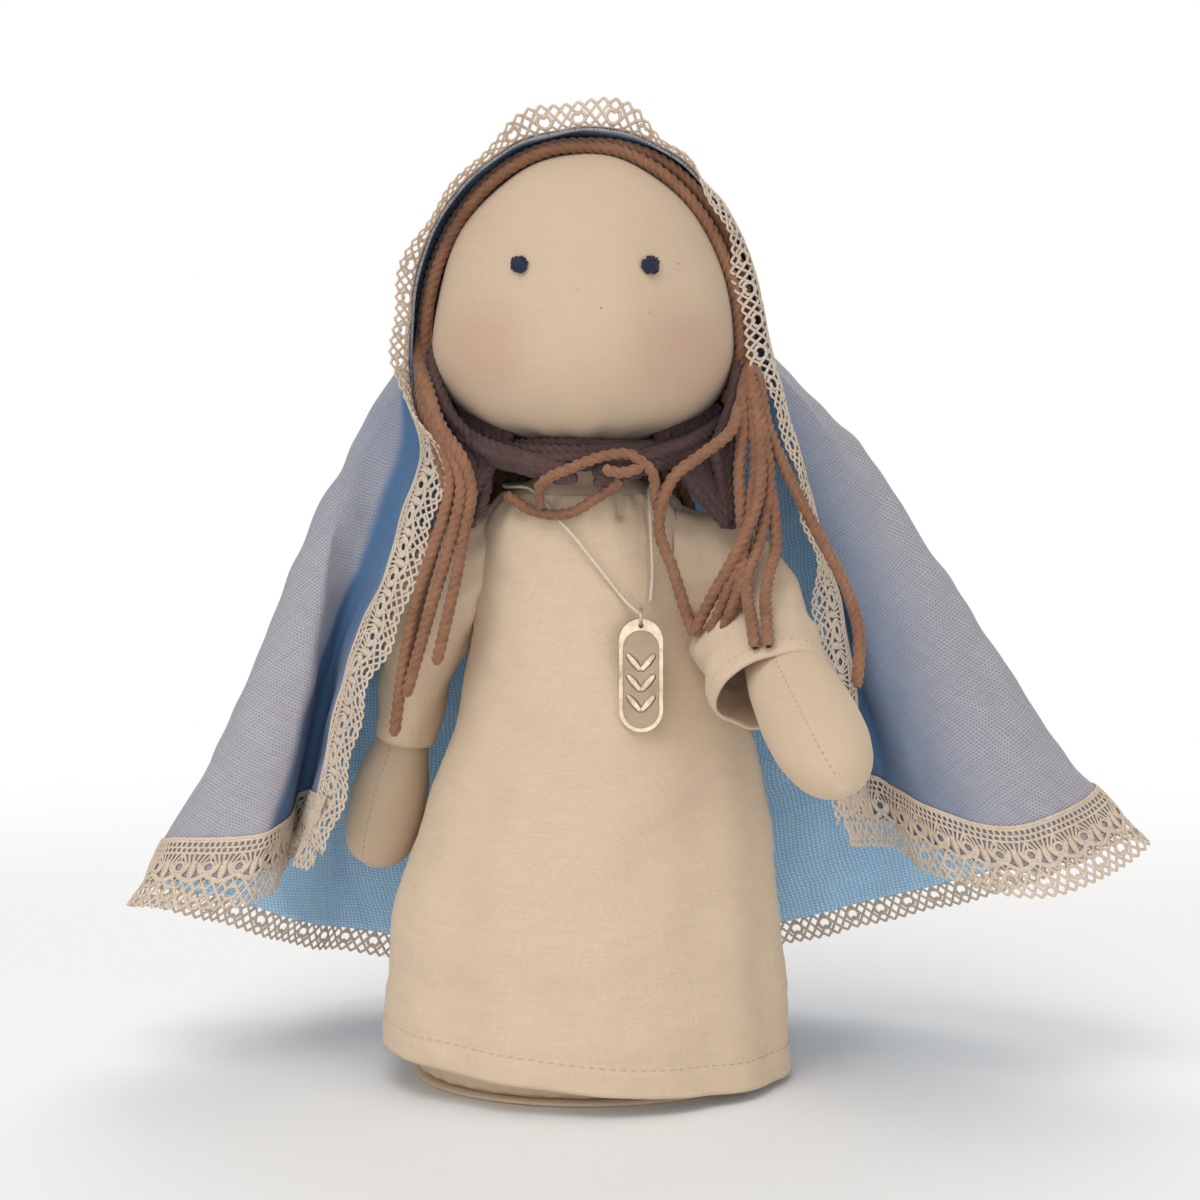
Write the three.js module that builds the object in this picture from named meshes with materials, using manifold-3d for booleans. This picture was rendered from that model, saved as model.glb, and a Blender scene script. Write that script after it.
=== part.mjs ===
// Rag doll in a linen gown and a hooded mantle edged with lace, standing on a weighted base.
// Millimetres, +Z up. The doll faces -Y, and the origin is the middle of its base on the table.

import * as THREE from "three";
import { mergeVertices } from "three/addons/utils/BufferGeometryUtils.js";
import Module from "manifold-3d";

const wasm = await Module();
wasm.setup();

// Clearances.
const touch = 0.35; // between pieces that rest on each other
const slip = 0.7; // between pieces that turn past each other
const fillingGap = 1.1; // a filling settles this far inside its skin

// Cloths and trims.
const skinCloth = 1.5; // cotton skin with its seam allowance
const gownCloth = 1.2;
const mantleCloth = 1.2;
const laceThickness = 1.0;
const laceFreeWidth = 9; // lace that stands past the cloth's edge
const yarnRadius = 2;

// Body: a stuffed bottle with a flat oval base.
const baseHalfWidth = 54;
const baseHalfDepth = 40;
const bottomCloth = 2;
const cardThickness = 2.5;
const weightBagHeight = 34;
const shoulderHalfWidth = 30.5;
const shoulderHalfDepth = 23;
const shoulderHeight = 167;
const shoulderRise = 21; // from the shoulder line up to the neck
const neckRadius = 16.4;
const neckLength = 15.2;
const bodyLean = 5; // sideways bow of the body to the right
const leanHeight = 108;
const leanReach = 59;

// Head: a ball that is fullest at the cheeks.
const headRadius = 47;
const chinDepth = 31; // cheeks down to the chin
const browRise = 58; // cheeks up to the crown
const chinFullness = 2.3; // 2 is an ellipse, more is squarer
const neckSink = 3.2; // the neck's top stands this far above the chin's lowest point
const eyeRadius = 3;
const eyeHeight = 1.3;
const eyeSpread = 20;
const eyeLevel = 24; // above the cheeks

// Hair.
const hairThickness = 4.2;
const hairlineY = -10; // the hair starts this far in front of the head's middle
const napeLevel = -17; // hair cap's lower edge, from the cheeks
const neckHairRadius = 25.5;
const neckHairHalfWidth = 7.5;
const neckHairHalfHeight = 5.2;
const neckHairReach = 112; // degrees to each side of the throat
const lockHalfWidth = 6.5;
const lockHalfDepth = 4.2;
const lockStartShare = 0.5; // the lock starts thinner by this much
const leftLockStart = 65; // degrees round the head from the front
const leftLockDrop = 21; // below the cheeks
const innerLockStart = 62;
const innerLockDrop = 17;
const outerLockStart = 84;
const outerLockDrop = 24;
// Routes of the yarn, with heights from the shoulder line.
const leftLockRoute = [[-37, -24, 28], [-41, -25, 5], [-46, -24, -19], [-56, -23, -49]];
const innerLockRoute = [[43, -27, 28], [42, -33, 5], [35, -36.5, -15], [29, -37, -31]];
const outerLockRoute = [[51, -18, 29], [62, -27, 7], [73, -31, -9], [82, -36, -25], [86, -41, -43]];
const throatTieRoute = [
  [21, -27, 24.5], [9, -32.6, 26.5], [-4, -31.5, 22], [-14, -29, 18.5], [-22.5, -24.8, 13.5],
  [-15.5, -27.2, 8.5], [-5, -29.2, 8], [4, -29.8, 12.5],
];
const backHairDrop = 84;
const backHairHalfWidth = 42;
const backHairThickness = 8;

// Gown.
const hemEase = 10.5; // cloth outside the body at the hem
const shoulderEase = 3.5;
const hemHeight = 7.5;
const hemTilt = 0.085; // the hem rides up on the left
const necklineDrop = 3; // neckline below the top of the shoulders

// Arms.
const armLength = 110;
const armHalfAcross = 6;
const armHalfDeep = 8.5;
const handHalfAcross = 13;
const handHalfDeep = 11;
const sleeveLength = 62;
const sleeveRootAcross = 8;
const sleeveRootDeep = 12;
const lashingRadius = 2.2;
const armholeEase = 1.2; // the armhole round the lashing
const shoulderSet = 2; // left arm behind, right arm in front of the middle
const leftCuffAcross = 10.5;
const leftCuffDeep = 16;
const rightCuffAcross = 17;
const rightCuffDeep = 14;
const leftArmAim = [-26, 17, -104]; // the way each arm points at rest
const rightArmAim = [30.5, -84, -60];
const leftArmGoes = [-17, -100, 0]; // the way each hand first moves as the arm is raised
const rightArmGoes = [-1, -23, 32];

// Mantle.
const hoodEdgeAngle = 100; // front edge, in degrees round from the back of the head
const ridgeBack = 8; // the hood's top ridge runs from the front edge to here
const hoodSlack = 1.15; // the hood stands off the hair
const hoodLeave = 5; // the cloth leaves the head at most this far above the cheeks
const hoodHang = 0.5; // how early the cloth leaves the head, 1 at once and 0 never
const backFolds = 4; // soft folds down each half of the back
const backFoldDepth = 4;
const leftNeckTuck = 12; // the left edge tucks in under the cheek
const rightEdgeBow = 15; // the right edge bows outward over the arm
const leftSideBelly = 10; // each side stands out this far from a straight fall
const rightSideBelly = 12.5;
const crownLaceAngle = 84; // the lace stands up over the crown
const sideLaceAngle = 40; // and leans outward beside the face
const hangingLaceAngle = 8; // and follows the cloth below
// The cloth's lower edge, from the left front corner by the back to the right front corner.
const hemRoute = [
  [-86, -6, 76], [-95, 25, 72], [-104, -5, 64], [-137, 2, 61], [-128, 38, 50], [-86, 70, 30], [-40, 86, 22],
  [8, 88, 20],
  [84, 80, 33], [146, 46, 60], [170, 4, 80], [140, -22, 70], [112, -14, 74], [98, 8, 79], [82, -10, 84],
];

// Pendant on its cord.
const cordRadius = 0.6;
const cordStandOff = 1.2; // the cord hangs just clear of the gown
const ringRadius = 2.6;
const ringWire = 0.5;
const ringPlay = 0.6; // the ring swings this far from the cord
const pendantLength = 34;
const pendantHalfWidth = 6.6;
const pendantThickness = 2;
const pendantRim = 1.1;
const pendantDrop = 18; // shoulder line down to the ring
const pendantSide = 17; // to the right of the middle

const TAU = Math.PI * 2;
const X_AXIS = new THREE.Vector3(1, 0, 0);
const Y_AXIS = new THREE.Vector3(0, 1, 0);
const Z_AXIS = new THREE.Vector3(0, 0, 1);

const neckTop = shoulderHeight + shoulderRise + neckLength;
const cheekHeight = neckTop - neckSink + chinDepth;
const crownHeight = cheekHeight + browRise;

function vec(x, y, z) {
  return new THREE.Vector3(x, y, z);
}

function unit(values) {
  return vec(...values).normalize();
}

function smoothstep(t) {
  return THREE.MathUtils.smoothstep(t, 0, 1);
}

const lerp = THREE.MathUtils.lerp;

// Makes an indexed geometry whose faces point out of the closed body.
function closedBody(points, triangles) {
  let volume = 0;
  for (const [a, b, c] of triangles) {
    volume += points[a].dot(points[b].clone().cross(points[c]));
  }
  const facing = volume > 0 ? triangles : triangles.map(([a, b, c]) => [a, c, b]);
  const geometry = new THREE.BufferGeometry();
  const numbers = points.flatMap((p) => p.toArray());
  geometry.setAttribute("position", new THREE.Float32BufferAttribute(numbers, 3));
  geometry.setIndex(facing.flat());
  geometry.computeVertexNormals();
  return geometry;
}

// Two triangles for each cell between neighbouring rows of points.
function cells(rows, columns, wrapRows, wrapColumns) {
  const triangles = [];
  const lastRow = wrapRows ? rows : rows - 1;
  const lastColumn = wrapColumns ? columns : columns - 1;
  for (let i = 0; i < lastRow; i += 1) {
    for (let j = 0; j < lastColumn; j += 1) {
      const nextRow = ((i + 1) % rows) * columns;
      const nextColumn = (j + 1) % columns;
      const a = i * columns + j;
      const b = i * columns + nextColumn;
      const c = nextRow + nextColumn;
      const d = nextRow + j;
      triangles.push([a, b, c], [a, c, d]);
    }
  }
  return triangles;
}

// Skins a row of rings. A loop closes on itself; otherwise each end ring is filled from its middle.
function skin(rings, isLoop = false) {
  const sides = rings[0].length;
  const points = rings.flat();
  const triangles = cells(rings.length, sides, isLoop, true);
  if (!isLoop) {
    fillRing(points, triangles, 0, sides, true);
    fillRing(points, triangles, (rings.length - 1) * sides, sides, false);
  }
  return closedBody(points, triangles);
}

function fillRing(points, triangles, first, sides, isStart) {
  const middle = vec(0, 0, 0);
  for (let j = 0; j < sides; j += 1) {
    middle.addScaledVector(points[first + j], 1 / sides);
  }
  const centre = points.push(middle) - 1;
  for (let j = 0; j < sides; j += 1) {
    const a = first + j;
    const b = first + ((j + 1) % sides);
    triangles.push(isStart ? [centre, b, a] : [centre, a, b]);
  }
}

// An ellipse of points about a centre, in the plane of two directions.
function ring(centre, across, deep, halfAcross, halfDeep, sides) {
  return Array.from({ length: sides }, (_, j) => {
    const angle = (TAU * j) / sides;
    return centre
      .clone()
      .addScaledVector(across, halfAcross * Math.cos(angle))
      .addScaledVector(deep, halfDeep * Math.sin(angle));
  });
}

// Thickens an open surface of rows and columns evenly to both sides, with walls along its free edges.
function thicken(rows, thickness) {
  const sheet = new THREE.BufferGeometry();
  const flat = rows.flat();
  sheet.setAttribute("position", new THREE.Float32BufferAttribute(flat.flatMap((p) => p.toArray()), 3));
  sheet.setIndex(cells(rows.length, rows[0].length, false, false).flat());
  const joined = mergeVertices(sheet, 1e-4);
  joined.computeVertexNormals();
  const position = joined.getAttribute("position");
  const normal = joined.getAttribute("normal");
  const faces = facesOf(joined);
  const outer = [];
  const inner = [];
  for (let i = 0; i < position.count; i += 1) {
    const point = vec(0, 0, 0).fromBufferAttribute(position, i);
    const out = vec(0, 0, 0).fromBufferAttribute(normal, i);
    outer.push(point.clone().addScaledVector(out, thickness / 2));
    inner.push(point.addScaledVector(out, -thickness / 2));
  }
  const back = faces.map(([a, b, c]) => [a + outer.length, c + outer.length, b + outer.length]);
  const walls = freeEdges(faces).flatMap(([a, b]) => [
    [b, a, a + outer.length],
    [b, a + outer.length, b + outer.length],
  ]);
  return closedBody([...outer, ...inner], [...faces, ...back, ...walls]);
}

function facesOf(geometry) {
  const index = geometry.getIndex().array;
  const faces = [];
  for (let i = 0; i < index.length; i += 3) {
    const face = [index[i], index[i + 1], index[i + 2]];
    if (new Set(face).size === 3) {
      faces.push(face);
    }
  }
  return faces;
}

// Edges that only one face uses, in that face's own direction.
function freeEdges(faces) {
  const seen = new Map();
  for (const [a, b, c] of faces) {
    for (const [from, to] of [[a, b], [b, c], [c, a]]) {
      seen.set(`${from},${to}`, [from, to]);
    }
  }
  return [...seen.values()].filter(([from, to]) => !seen.has(`${to},${from}`));
}

function toSolid(geometry) {
  const bare = geometry.clone();
  bare.deleteAttribute("normal");
  bare.deleteAttribute("uv");
  const merged = mergeVertices(bare, 1e-4);
  const vertProperties = new Float32Array(merged.getAttribute("position").array);
  const triVerts = new Uint32Array(facesOf(merged).flat());
  return new wasm.Manifold(new wasm.Mesh({ numProp: 3, vertProperties, triVerts }));
}

function fromSolid(solid) {
  const mesh = solid.getMesh();
  const geometry = new THREE.BufferGeometry();
  geometry.setAttribute("position", new THREE.BufferAttribute(new Float32Array(mesh.vertProperties), 3));
  geometry.setIndex(new THREE.BufferAttribute(new Uint32Array(mesh.triVerts), 1));
  geometry.computeVertexNormals();
  return geometry;
}

function cut(geometry, ...tools) {
  const solid = tools.reduce((left, tool) => left.subtract(toSolid(tool)), toSolid(geometry));
  return fromSolid(solid);
}

// A round tube along a curve.
function tube(curve, radius, steps, sides) {
  const section = new THREE.Shape();
  section.absarc(0, 0, radius, 0, TAU);
  return new THREE.ExtrudeGeometry(section, { steps, curveSegments: sides, extrudePath: curve });
}

// A lathe that stands on Z, from a profile drawn down its outside from the top.
function latheOnZ(profile, segments) {
  const points = profile.map(([radius, height]) => new THREE.Vector2(radius, height)).reverse();
  return new THREE.LatheGeometry(points, segments).rotateX(Math.PI / 2);
}

function mesh(name, geometry, colour, roughness, metalness = 0) {
  const material = new THREE.MeshStandardMaterial({ color: colour, roughness, metalness });
  const piece = new THREE.Mesh(geometry, material);
  piece.name = name;
  return piece;
}

const skinColour = 0xd3b894;
const gownColour = 0xd8be9f;
const hairColour = 0x8a5a3a;
const mantleColour = 0x8fa3c0;
const laceColour = 0xd4bda2;
const fillingColour = 0xe9e4da;
const threadColour = 0xe8e2d6;

// Body outline: half width and half depth at a height, and the sideways bow of its middle.

function bodyHalf(z, baseHalf, shoulderHalf) {
  if (z <= shoulderHeight) {
    const rise = Math.max(z, 0) / shoulderHeight;
    return lerp(baseHalf, shoulderHalf, smoothstep(rise ** 1.5));
  }
  const over = Math.min((z - shoulderHeight) / shoulderRise, 1);
  return neckRadius + (shoulderHalf - neckRadius) * Math.sqrt(1 - over * over);
}

function lean(z) {
  const off = THREE.MathUtils.clamp((z - leanHeight) / leanReach, -1, 1);
  return bodyLean * Math.cos((off * Math.PI) / 2) ** 2;
}

function bodyRing(z, grow, sides) {
  const halfWidth = bodyHalf(z, baseHalfWidth, shoulderHalfWidth) + grow;
  const halfDepth = bodyHalf(z, baseHalfDepth, shoulderHalfDepth) + grow;
  return ring(vec(lean(z), 0, z), X_AXIS, Y_AXIS, halfWidth, halfDepth, sides);
}

// Heights from one level to another, closer together over the rounded shoulders.
function bodyLevels(from, to, count) {
  const shoulders = [0, 0.5, 0.85, 1].map((part) => shoulderHeight + shoulderRise * part);
  const below = Array.from({ length: count }, (_, i) => lerp(from, shoulderHeight, i / count));
  return [...below, ...shoulders, to].filter((z) => z <= to);
}

function bodySolid(from, to, grow, count, sides) {
  return skin(bodyLevels(from, to, count).map((z) => bodyRing(z, grow, sides)));
}

const skinFoot = bottomCloth + touch;
const cardTop = skinFoot + cardThickness;
const bagFoot = cardTop + touch;
const bagTop = bagFoot + weightBagHeight;
const bodySides = 28;
const fillingSides = 20;

function bodySkin() {
  const outer = bodyLevels(skinFoot, neckTop, 6).map((z) => bodyRing(z, 0, bodySides));
  const inner = bodyLevels(skinFoot, neckTop - skinCloth, 6).map((z) => bodyRing(z, -skinCloth, bodySides));
  return skin([...outer.reverse(), ...inner]);
}

function bottomPanel() {
  const edge = bottomCloth / 2;
  const levels = [[0, -edge], [edge, 0], [bottomCloth, -edge / 2]];
  return skin(levels.map(([z, grow]) => bodyRing(z, grow, bodySides)));
}

function cardDisc() {
  const inset = -skinCloth - fillingGap;
  return skin([skinFoot, cardTop].map((z) => bodyRing(z, inset, fillingSides)));
}

function weightBag() {
  const inset = -skinCloth - fillingGap;
  const levels = [[0, inset - 2], [0.12, inset], [0.8, inset], [0.95, inset - 5], [1, inset - 14]];
  return skin(levels.map(([part, grow]) => bodyRing(lerp(bagFoot, bagTop, part), grow, fillingSides)));
}

function bodyFilling() {
  const top = neckTop - skinCloth - touch;
  return bodySolid(bagTop + touch, top, -skinCloth - fillingGap, 5, fillingSides);
}

// Head outline: radius at a height, grown outward by a layer.

function headRadiusAt(z, grow) {
  const off = z - cheekHeight;
  const reach = (off < 0 ? chinDepth : browRise) + grow;
  const power = off < 0 ? chinFullness : 2;
  const part = Math.min(Math.abs(off) / reach, 1);
  return (headRadius + grow) * (1 - part ** power) ** (1 / power);
}

// The outline from the crown down to a radius under the chin, at even turns about the cheeks.
function headProfile(grow, lowestRadius, count) {
  const points = [[0, crownHeight + grow]];
  for (let i = 1; i < count; i += 1) {
    const turn = (Math.PI * i) / count;
    const up = Math.cos(turn);
    const z = cheekHeight + up * (up < 0 ? chinDepth + grow : browRise + grow);
    const radius = headRadiusAt(z, grow);
    if (turn < Math.PI / 2 || radius > lowestRadius + 2) {
      points.push([radius, z]);
    }
  }
  points.push([lowestRadius, headUnderside(lowestRadius, grow)]);
  return points;
}

// Height of the head's underside at a radius from the neck's middle.
function headUnderside(radius, grow) {
  const part = Math.min(radius / (headRadius + grow), 1);
  return cheekHeight - (chinDepth + grow) * (1 - part ** chinFullness) ** (1 / chinFullness);
}

const headSegments = 32;

function headSkin() {
  const hole = neckRadius + touch;
  const outer = headProfile(0, hole, 14);
  const inner = headProfile(-skinCloth, hole, 10).reverse();
  return latheOnZ([...outer, ...inner], headSegments);
}

function headFilling() {
  const outer = headProfile(-skinCloth - fillingGap, neckRadius, 10);
  const floor = Math.max(neckTop + touch, outer.at(-1)[1]);
  outer[outer.length - 1] = [neckRadius, floor];
  return latheOnZ([...outer, [0, floor]], fillingSides);
}

// An eye: a low dome of thread on the face, facing along the face's own slope.
function eye(name, side) {
  const z = cheekHeight + eyeLevel;
  const radius = headRadiusAt(z, touch);
  const x = side * eyeSpread;
  const y = -Math.sqrt(radius * radius - x * x);
  const slope = (headRadiusAt(z - 1, 0) - headRadiusAt(z + 1, 0)) / 2;
  const profile = [[0, eyeHeight], [eyeRadius * 0.6, eyeHeight * 0.85], [eyeRadius, eyeHeight * 0.35],
    [eyeRadius * 0.9, 0], [0, 0]];
  const piece = mesh(name, latheOnZ(profile, 14), 0x3a3d56, 0.8);
  piece.position.set(x, y, z);
  piece.quaternion.setFromUnitVectors(Z_AXIS, unit([x, y, slope * radius]));
  return piece;
}

// Hair cap: a layer over the head, open at the face, that turns with it.
function hairCap() {
  const foot = cheekHeight + napeLevel;
  const keepAbove = ([, z]) => z > foot + 1;
  const inner = headProfile(touch, neckRadius, 14).filter(keepAbove);
  const outer = headProfile(touch + hairThickness, neckRadius, 12).filter(keepAbove);
  outer.push([headRadiusAt(foot, touch + hairThickness), foot]);
  inner.push([headRadiusAt(foot, touch), foot]);
  const layer = latheOnZ([...outer, ...inner.reverse()], headSegments);
  const reach = 4 * headRadius;
  const face = new THREE.BoxGeometry(reach, reach, reach);
  face.translate(0, hairlineY - reach / 2, cheekHeight);
  return cut(layer, face);
}

// Gown outline.

const necklineHeight = shoulderHeight + shoulderRise - necklineDrop;

function gownEase(z) {
  if (z <= shoulderHeight) {
    const up = (z - hemHeight) / (shoulderHeight - hemHeight);
    return lerp(hemEase, shoulderEase, THREE.MathUtils.clamp(up, 0, 1));
  }
  const over = (z - shoulderHeight) / (necklineHeight - shoulderHeight);
  return lerp(shoulderEase, touch + gownCloth, Math.min(over, 1));
}

function gownHalfWidth(z) {
  return bodyHalf(z, baseHalfWidth, shoulderHalfWidth) + gownEase(z);
}

function gownHalfDepth(z) {
  return bodyHalf(z, baseHalfDepth, shoulderHalfDepth) + gownEase(z);
}

function gownFrontY(x, z) {
  const part = Math.min(Math.abs(x - lean(z)) / gownHalfWidth(z), 0.98);
  return -gownHalfDepth(z) * Math.sqrt(1 - part * part);
}

function gownRing(z, grow, sides) {
  const centre = vec(lean(z), 0, z);
  const points = ring(centre, X_AXIS, Y_AXIS, gownHalfWidth(z) + grow, gownHalfDepth(z) + grow, sides);
  const fade = 1 - smoothstep((z - hemHeight) / (shoulderHeight / 2));
  for (const point of points) {
    point.z -= hemTilt * point.x * fade;
  }
  return points;
}

const gownSides = 30;

function gownLevels() {
  const below = Array.from({ length: 8 }, (_, i) => lerp(hemHeight, shoulderHeight, i / 8));
  const above = [0, 0.45, 0.8, 1].map((part) => lerp(shoulderHeight, necklineHeight, part));
  return [...below, ...above];
}

// Arms. Each hangs from a pivot beside the gown, on a lashing through the armhole.

function armFrame(side, aimValues, goesValues) {
  const across = shoulderHalfWidth + shoulderEase + slip + sleeveRootAcross;
  const pivot = vec(side * across + lean(shoulderHeight), -side * shoulderSet, shoulderHeight);
  const aim = unit(aimValues);
  const outward = X_AXIS.clone().addScaledVector(aim, -aim.x).normalize();
  const deep = aim.clone().cross(outward);
  const axis = aim.clone().cross(unit(goesValues)).normalize();
  return { side, pivot, aim, across: outward, deep, axis };
}

const leftArm = armFrame(-1, leftArmAim, leftArmGoes);
const rightArm = armFrame(1, rightArmAim, rightArmGoes);

// Each section: distance along the arm, half width and half depth before the layer is added.
function armSections() {
  const wrist = sleeveLength;
  const left = armLength - wrist;
  return [
    [-armHalfAcross * 0.85, armHalfAcross * 0.45, armHalfDeep * 0.45],
    [-armHalfAcross * 0.55, armHalfAcross * 0.85, armHalfDeep * 0.85],
    [armHalfAcross * 0.4, armHalfAcross, armHalfDeep],
    [wrist * 0.55, armHalfAcross * 1.12, armHalfDeep * 1.02],
    [wrist, lerp(armHalfAcross, handHalfAcross, 0.3), lerp(armHalfDeep, handHalfDeep, 0.3)],
    [wrist + left * 0.36, handHalfAcross * 0.93, handHalfDeep * 0.98],
    [wrist + left * 0.6, handHalfAcross, handHalfDeep],
    [wrist + left * 0.8, handHalfAcross * 0.88, handHalfDeep * 0.88],
    [wrist + left * 0.93, handHalfAcross * 0.62, handHalfDeep * 0.62],
    [armLength, handHalfAcross * 0.2, handHalfDeep * 0.2],
  ];
}

function armRings(arm, grow, sides) {
  const sections = armSections();
  return sections.map(([along, halfAcross, halfDeep], i) => {
    const tip = i === sections.length - 1 ? grow : 0;
    const start = i === 0 ? -grow : 0;
    const centre = arm.pivot.clone().addScaledVector(arm.aim, along + tip + start);
    const wide = Math.max(halfAcross + grow, 0.8);
    const deep = Math.max(halfDeep + grow, 0.8);
    return ring(centre, arm.across, arm.deep, wide, deep, sides);
  });
}

const armSides = 16;

function armSkin(arm) {
  const outer = armRings(arm, 0, armSides).reverse();
  const inner = armRings(arm, -skinCloth, armSides);
  return skin([...outer, ...inner]);
}

function armFilling(arm) {
  return skin(armRings(arm, -skinCloth - touch, fillingSides / 2).slice(1));
}

// A round pin along the arm's own axis, from its pivot to the middle of the body.
function hingePin(arm, radius) {
  const inward = arm.axis.clone().multiplyScalar(-arm.side * Math.sign(arm.axis.x));
  const length = Math.abs(arm.pivot.x);
  const pin = new THREE.CylinderGeometry(radius, radius, length, 12);
  pin.translate(0, length / 2, 0);
  pin.applyQuaternion(new THREE.Quaternion().setFromUnitVectors(Y_AXIS, inward));
  return pin.translate(...arm.pivot.toArray());
}

// The thread that joins the arm to the body, cut short of both.
function lashing(arm) {
  const body = bodySolid(0, neckTop, touch, 8, bodySides);
  return cut(hingePin(arm, lashingRadius), body, skin(armRings(arm, slip, armSides)));
}

function sleeve(arm, cuffAcross, cuffDeep) {
  const parts = [0, 0.12, 0.3, 0.55, 0.8, 1];
  const layer = (grow) => parts.map((part) => {
    const centre = arm.pivot.clone().addScaledVector(arm.aim, sleeveLength * part);
    const halfAcross = lerp(sleeveRootAcross, cuffAcross, part) + grow;
    const halfDeep = lerp(sleeveRootDeep, cuffDeep, Math.sqrt(part)) + grow;
    return ring(centre, arm.across, arm.deep, halfAcross, halfDeep, 20);
  });
  const cloth = skin([...layer(0), ...layer(-gownCloth).reverse()], true);
  return cut(cloth, hingePin(arm, lashingRadius + slip));
}

function gownBody() {
  const outer = gownLevels().map((z) => gownRing(z, 0, gownSides));
  const inner = gownLevels().map((z) => gownRing(z, -gownCloth, gownSides));
  const cloth = skin([...outer, ...inner.reverse()], true);
  const armhole = lashingRadius + armholeEase;
  return cut(cloth, hingePin(leftArm, armhole), hingePin(rightArm, armhole));
}

// Hair that hangs from the head. It stays with the body when the head turns.

// The height at which the neck's yarn just clears the head above it.
function neckHairHeight() {
  let height = Infinity;
  for (let i = -8; i <= 8; i += 1) {
    const part = i / 8;
    const radius = neckHairRadius + neckHairHalfWidth * part;
    const bulge = neckHairHalfHeight * Math.sqrt(1 - part * part);
    height = Math.min(height, headUnderside(radius, slip) - bulge);
  }
  return height;
}

function neckHair() {
  const height = neckHairHeight();
  const steps = 14;
  const rings = Array.from({ length: steps + 1 }, (_, i) => {
    const part = (2 * i) / steps - 1;
    const angle = part * THREE.MathUtils.degToRad(neckHairReach);
    const radial = vec(Math.sin(angle), -Math.cos(angle), 0);
    const taper = Math.sqrt(1 - 0.9 * Math.abs(part) ** 4);
    const centre = radial.clone().multiplyScalar(neckHairRadius).setZ(height);
    return ring(centre, radial, Z_AXIS, neckHairHalfWidth * taper, neckHairHalfHeight * taper, 10);
  });
  return skin(rings);
}

function backHair() {
  const halfThick = backHairThickness / 2;
  const topY = headRadius * 0.72;
  const top = headUnderside(topY - halfThick * 0.7, touch);
  const foot = top - backHairDrop;
  const footY = gownHalfDepth(foot) + touch + halfThick;
  const levels = [
    [0, 0.55, 0.7], [0.1, 0.75, 1], [0.4, 0.95, 1], [0.75, 1, 1], [0.95, 0.9, 0.8], [1, 0.7, 0.4],
  ];
  return skin(levels.map(([part, wide, thick]) => {
    const centre = vec(0, lerp(topY, footY, part), lerp(top, foot, part));
    return ring(centre, X_AXIS, Y_AXIS, backHairHalfWidth * wide, halfThick * thick, 20);
  }));
}

function fromShoulders([x, y, up]) {
  return vec(x, y, shoulderHeight + up);
}

// A lock: flat yarn bundle that starts against the head and follows a chosen route.
function lock(startAngle, startDrop, route) {
  const turn = THREE.MathUtils.degToRad(startAngle);
  const startZ = cheekHeight - startDrop;
  const away = headRadiusAt(startZ, touch) + lockHalfDepth * lockStartShare;
  const start = vec(Math.sin(turn) * away, -Math.cos(turn) * away, startZ);
  const curve = new THREE.CatmullRomCurve3([start, ...route.map(fromShoulders)]);
  const steps = 12;
  return skin(Array.from({ length: steps + 1 }, (_, i) => {
    const part = i / steps;
    const along = curve.getTangentAt(part);
    const across = X_AXIS.clone().addScaledVector(along, -along.x).normalize();
    const deep = along.clone().cross(across);
    const taper = lerp(lockStartShare, 1, smoothstep(part * 4)) * lerp(1, 0.6, smoothstep(part * 4 - 3));
    return ring(curve.getPointAt(part), across, deep, lockHalfWidth * taper, lockHalfDepth * taper, 10);
  }));
}

// The yarn tie lies over the neckline: a knot at the throat, a loop to the left and a tail.
function throatTie() {
  const curve = new THREE.CatmullRomCurve3(throatTieRoute.map(fromShoulders));
  return tube(curve, yarnRadius, 22, 3);
}

// Mantle. Its surface runs round from the left front edge (-1) by the back (0) to the right front
// edge (1), and down from the ridge on the head (0) past the hood (1) to the hem (2).

const hoodOver = touch + hairThickness + hoodSlack + mantleCloth / 2;
const hoodRadius = headRadius + hoodOver;
const hoodTop = crownHeight + hoodOver;
const hoodLevel = cheekHeight + hoodLeave;
const ridgeFront = hoodRadius * Math.cos(THREE.MathUtils.degToRad(hoodEdgeAngle));
const hemCurve = new THREE.CatmullRomCurve3(hemRoute.map((p) => vec(...p)), false, "catmullrom", 0.5);

function bump(value, middle, reach) {
  return Math.exp(-(((value - middle) / reach) ** 2));
}

// How far the cloth stands out sideways below the hood, most over the arms and nothing at the front edges.
function sideBelly(round, part) {
  const beside = Math.abs(round);
  const frontLimit = round < 0 ? 0.9 : 0.78;
  const width = smoothstep((beside - 0.12) / 0.25) * smoothstep((frontLimit - beside) / 0.16);
  const height = smoothstep(part / 0.25) * bump(part, 0.42, 0.3) / (1 - 0.42);
  return (round < 0 ? -leftSideBelly : rightSideBelly) * width * height;
}

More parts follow.
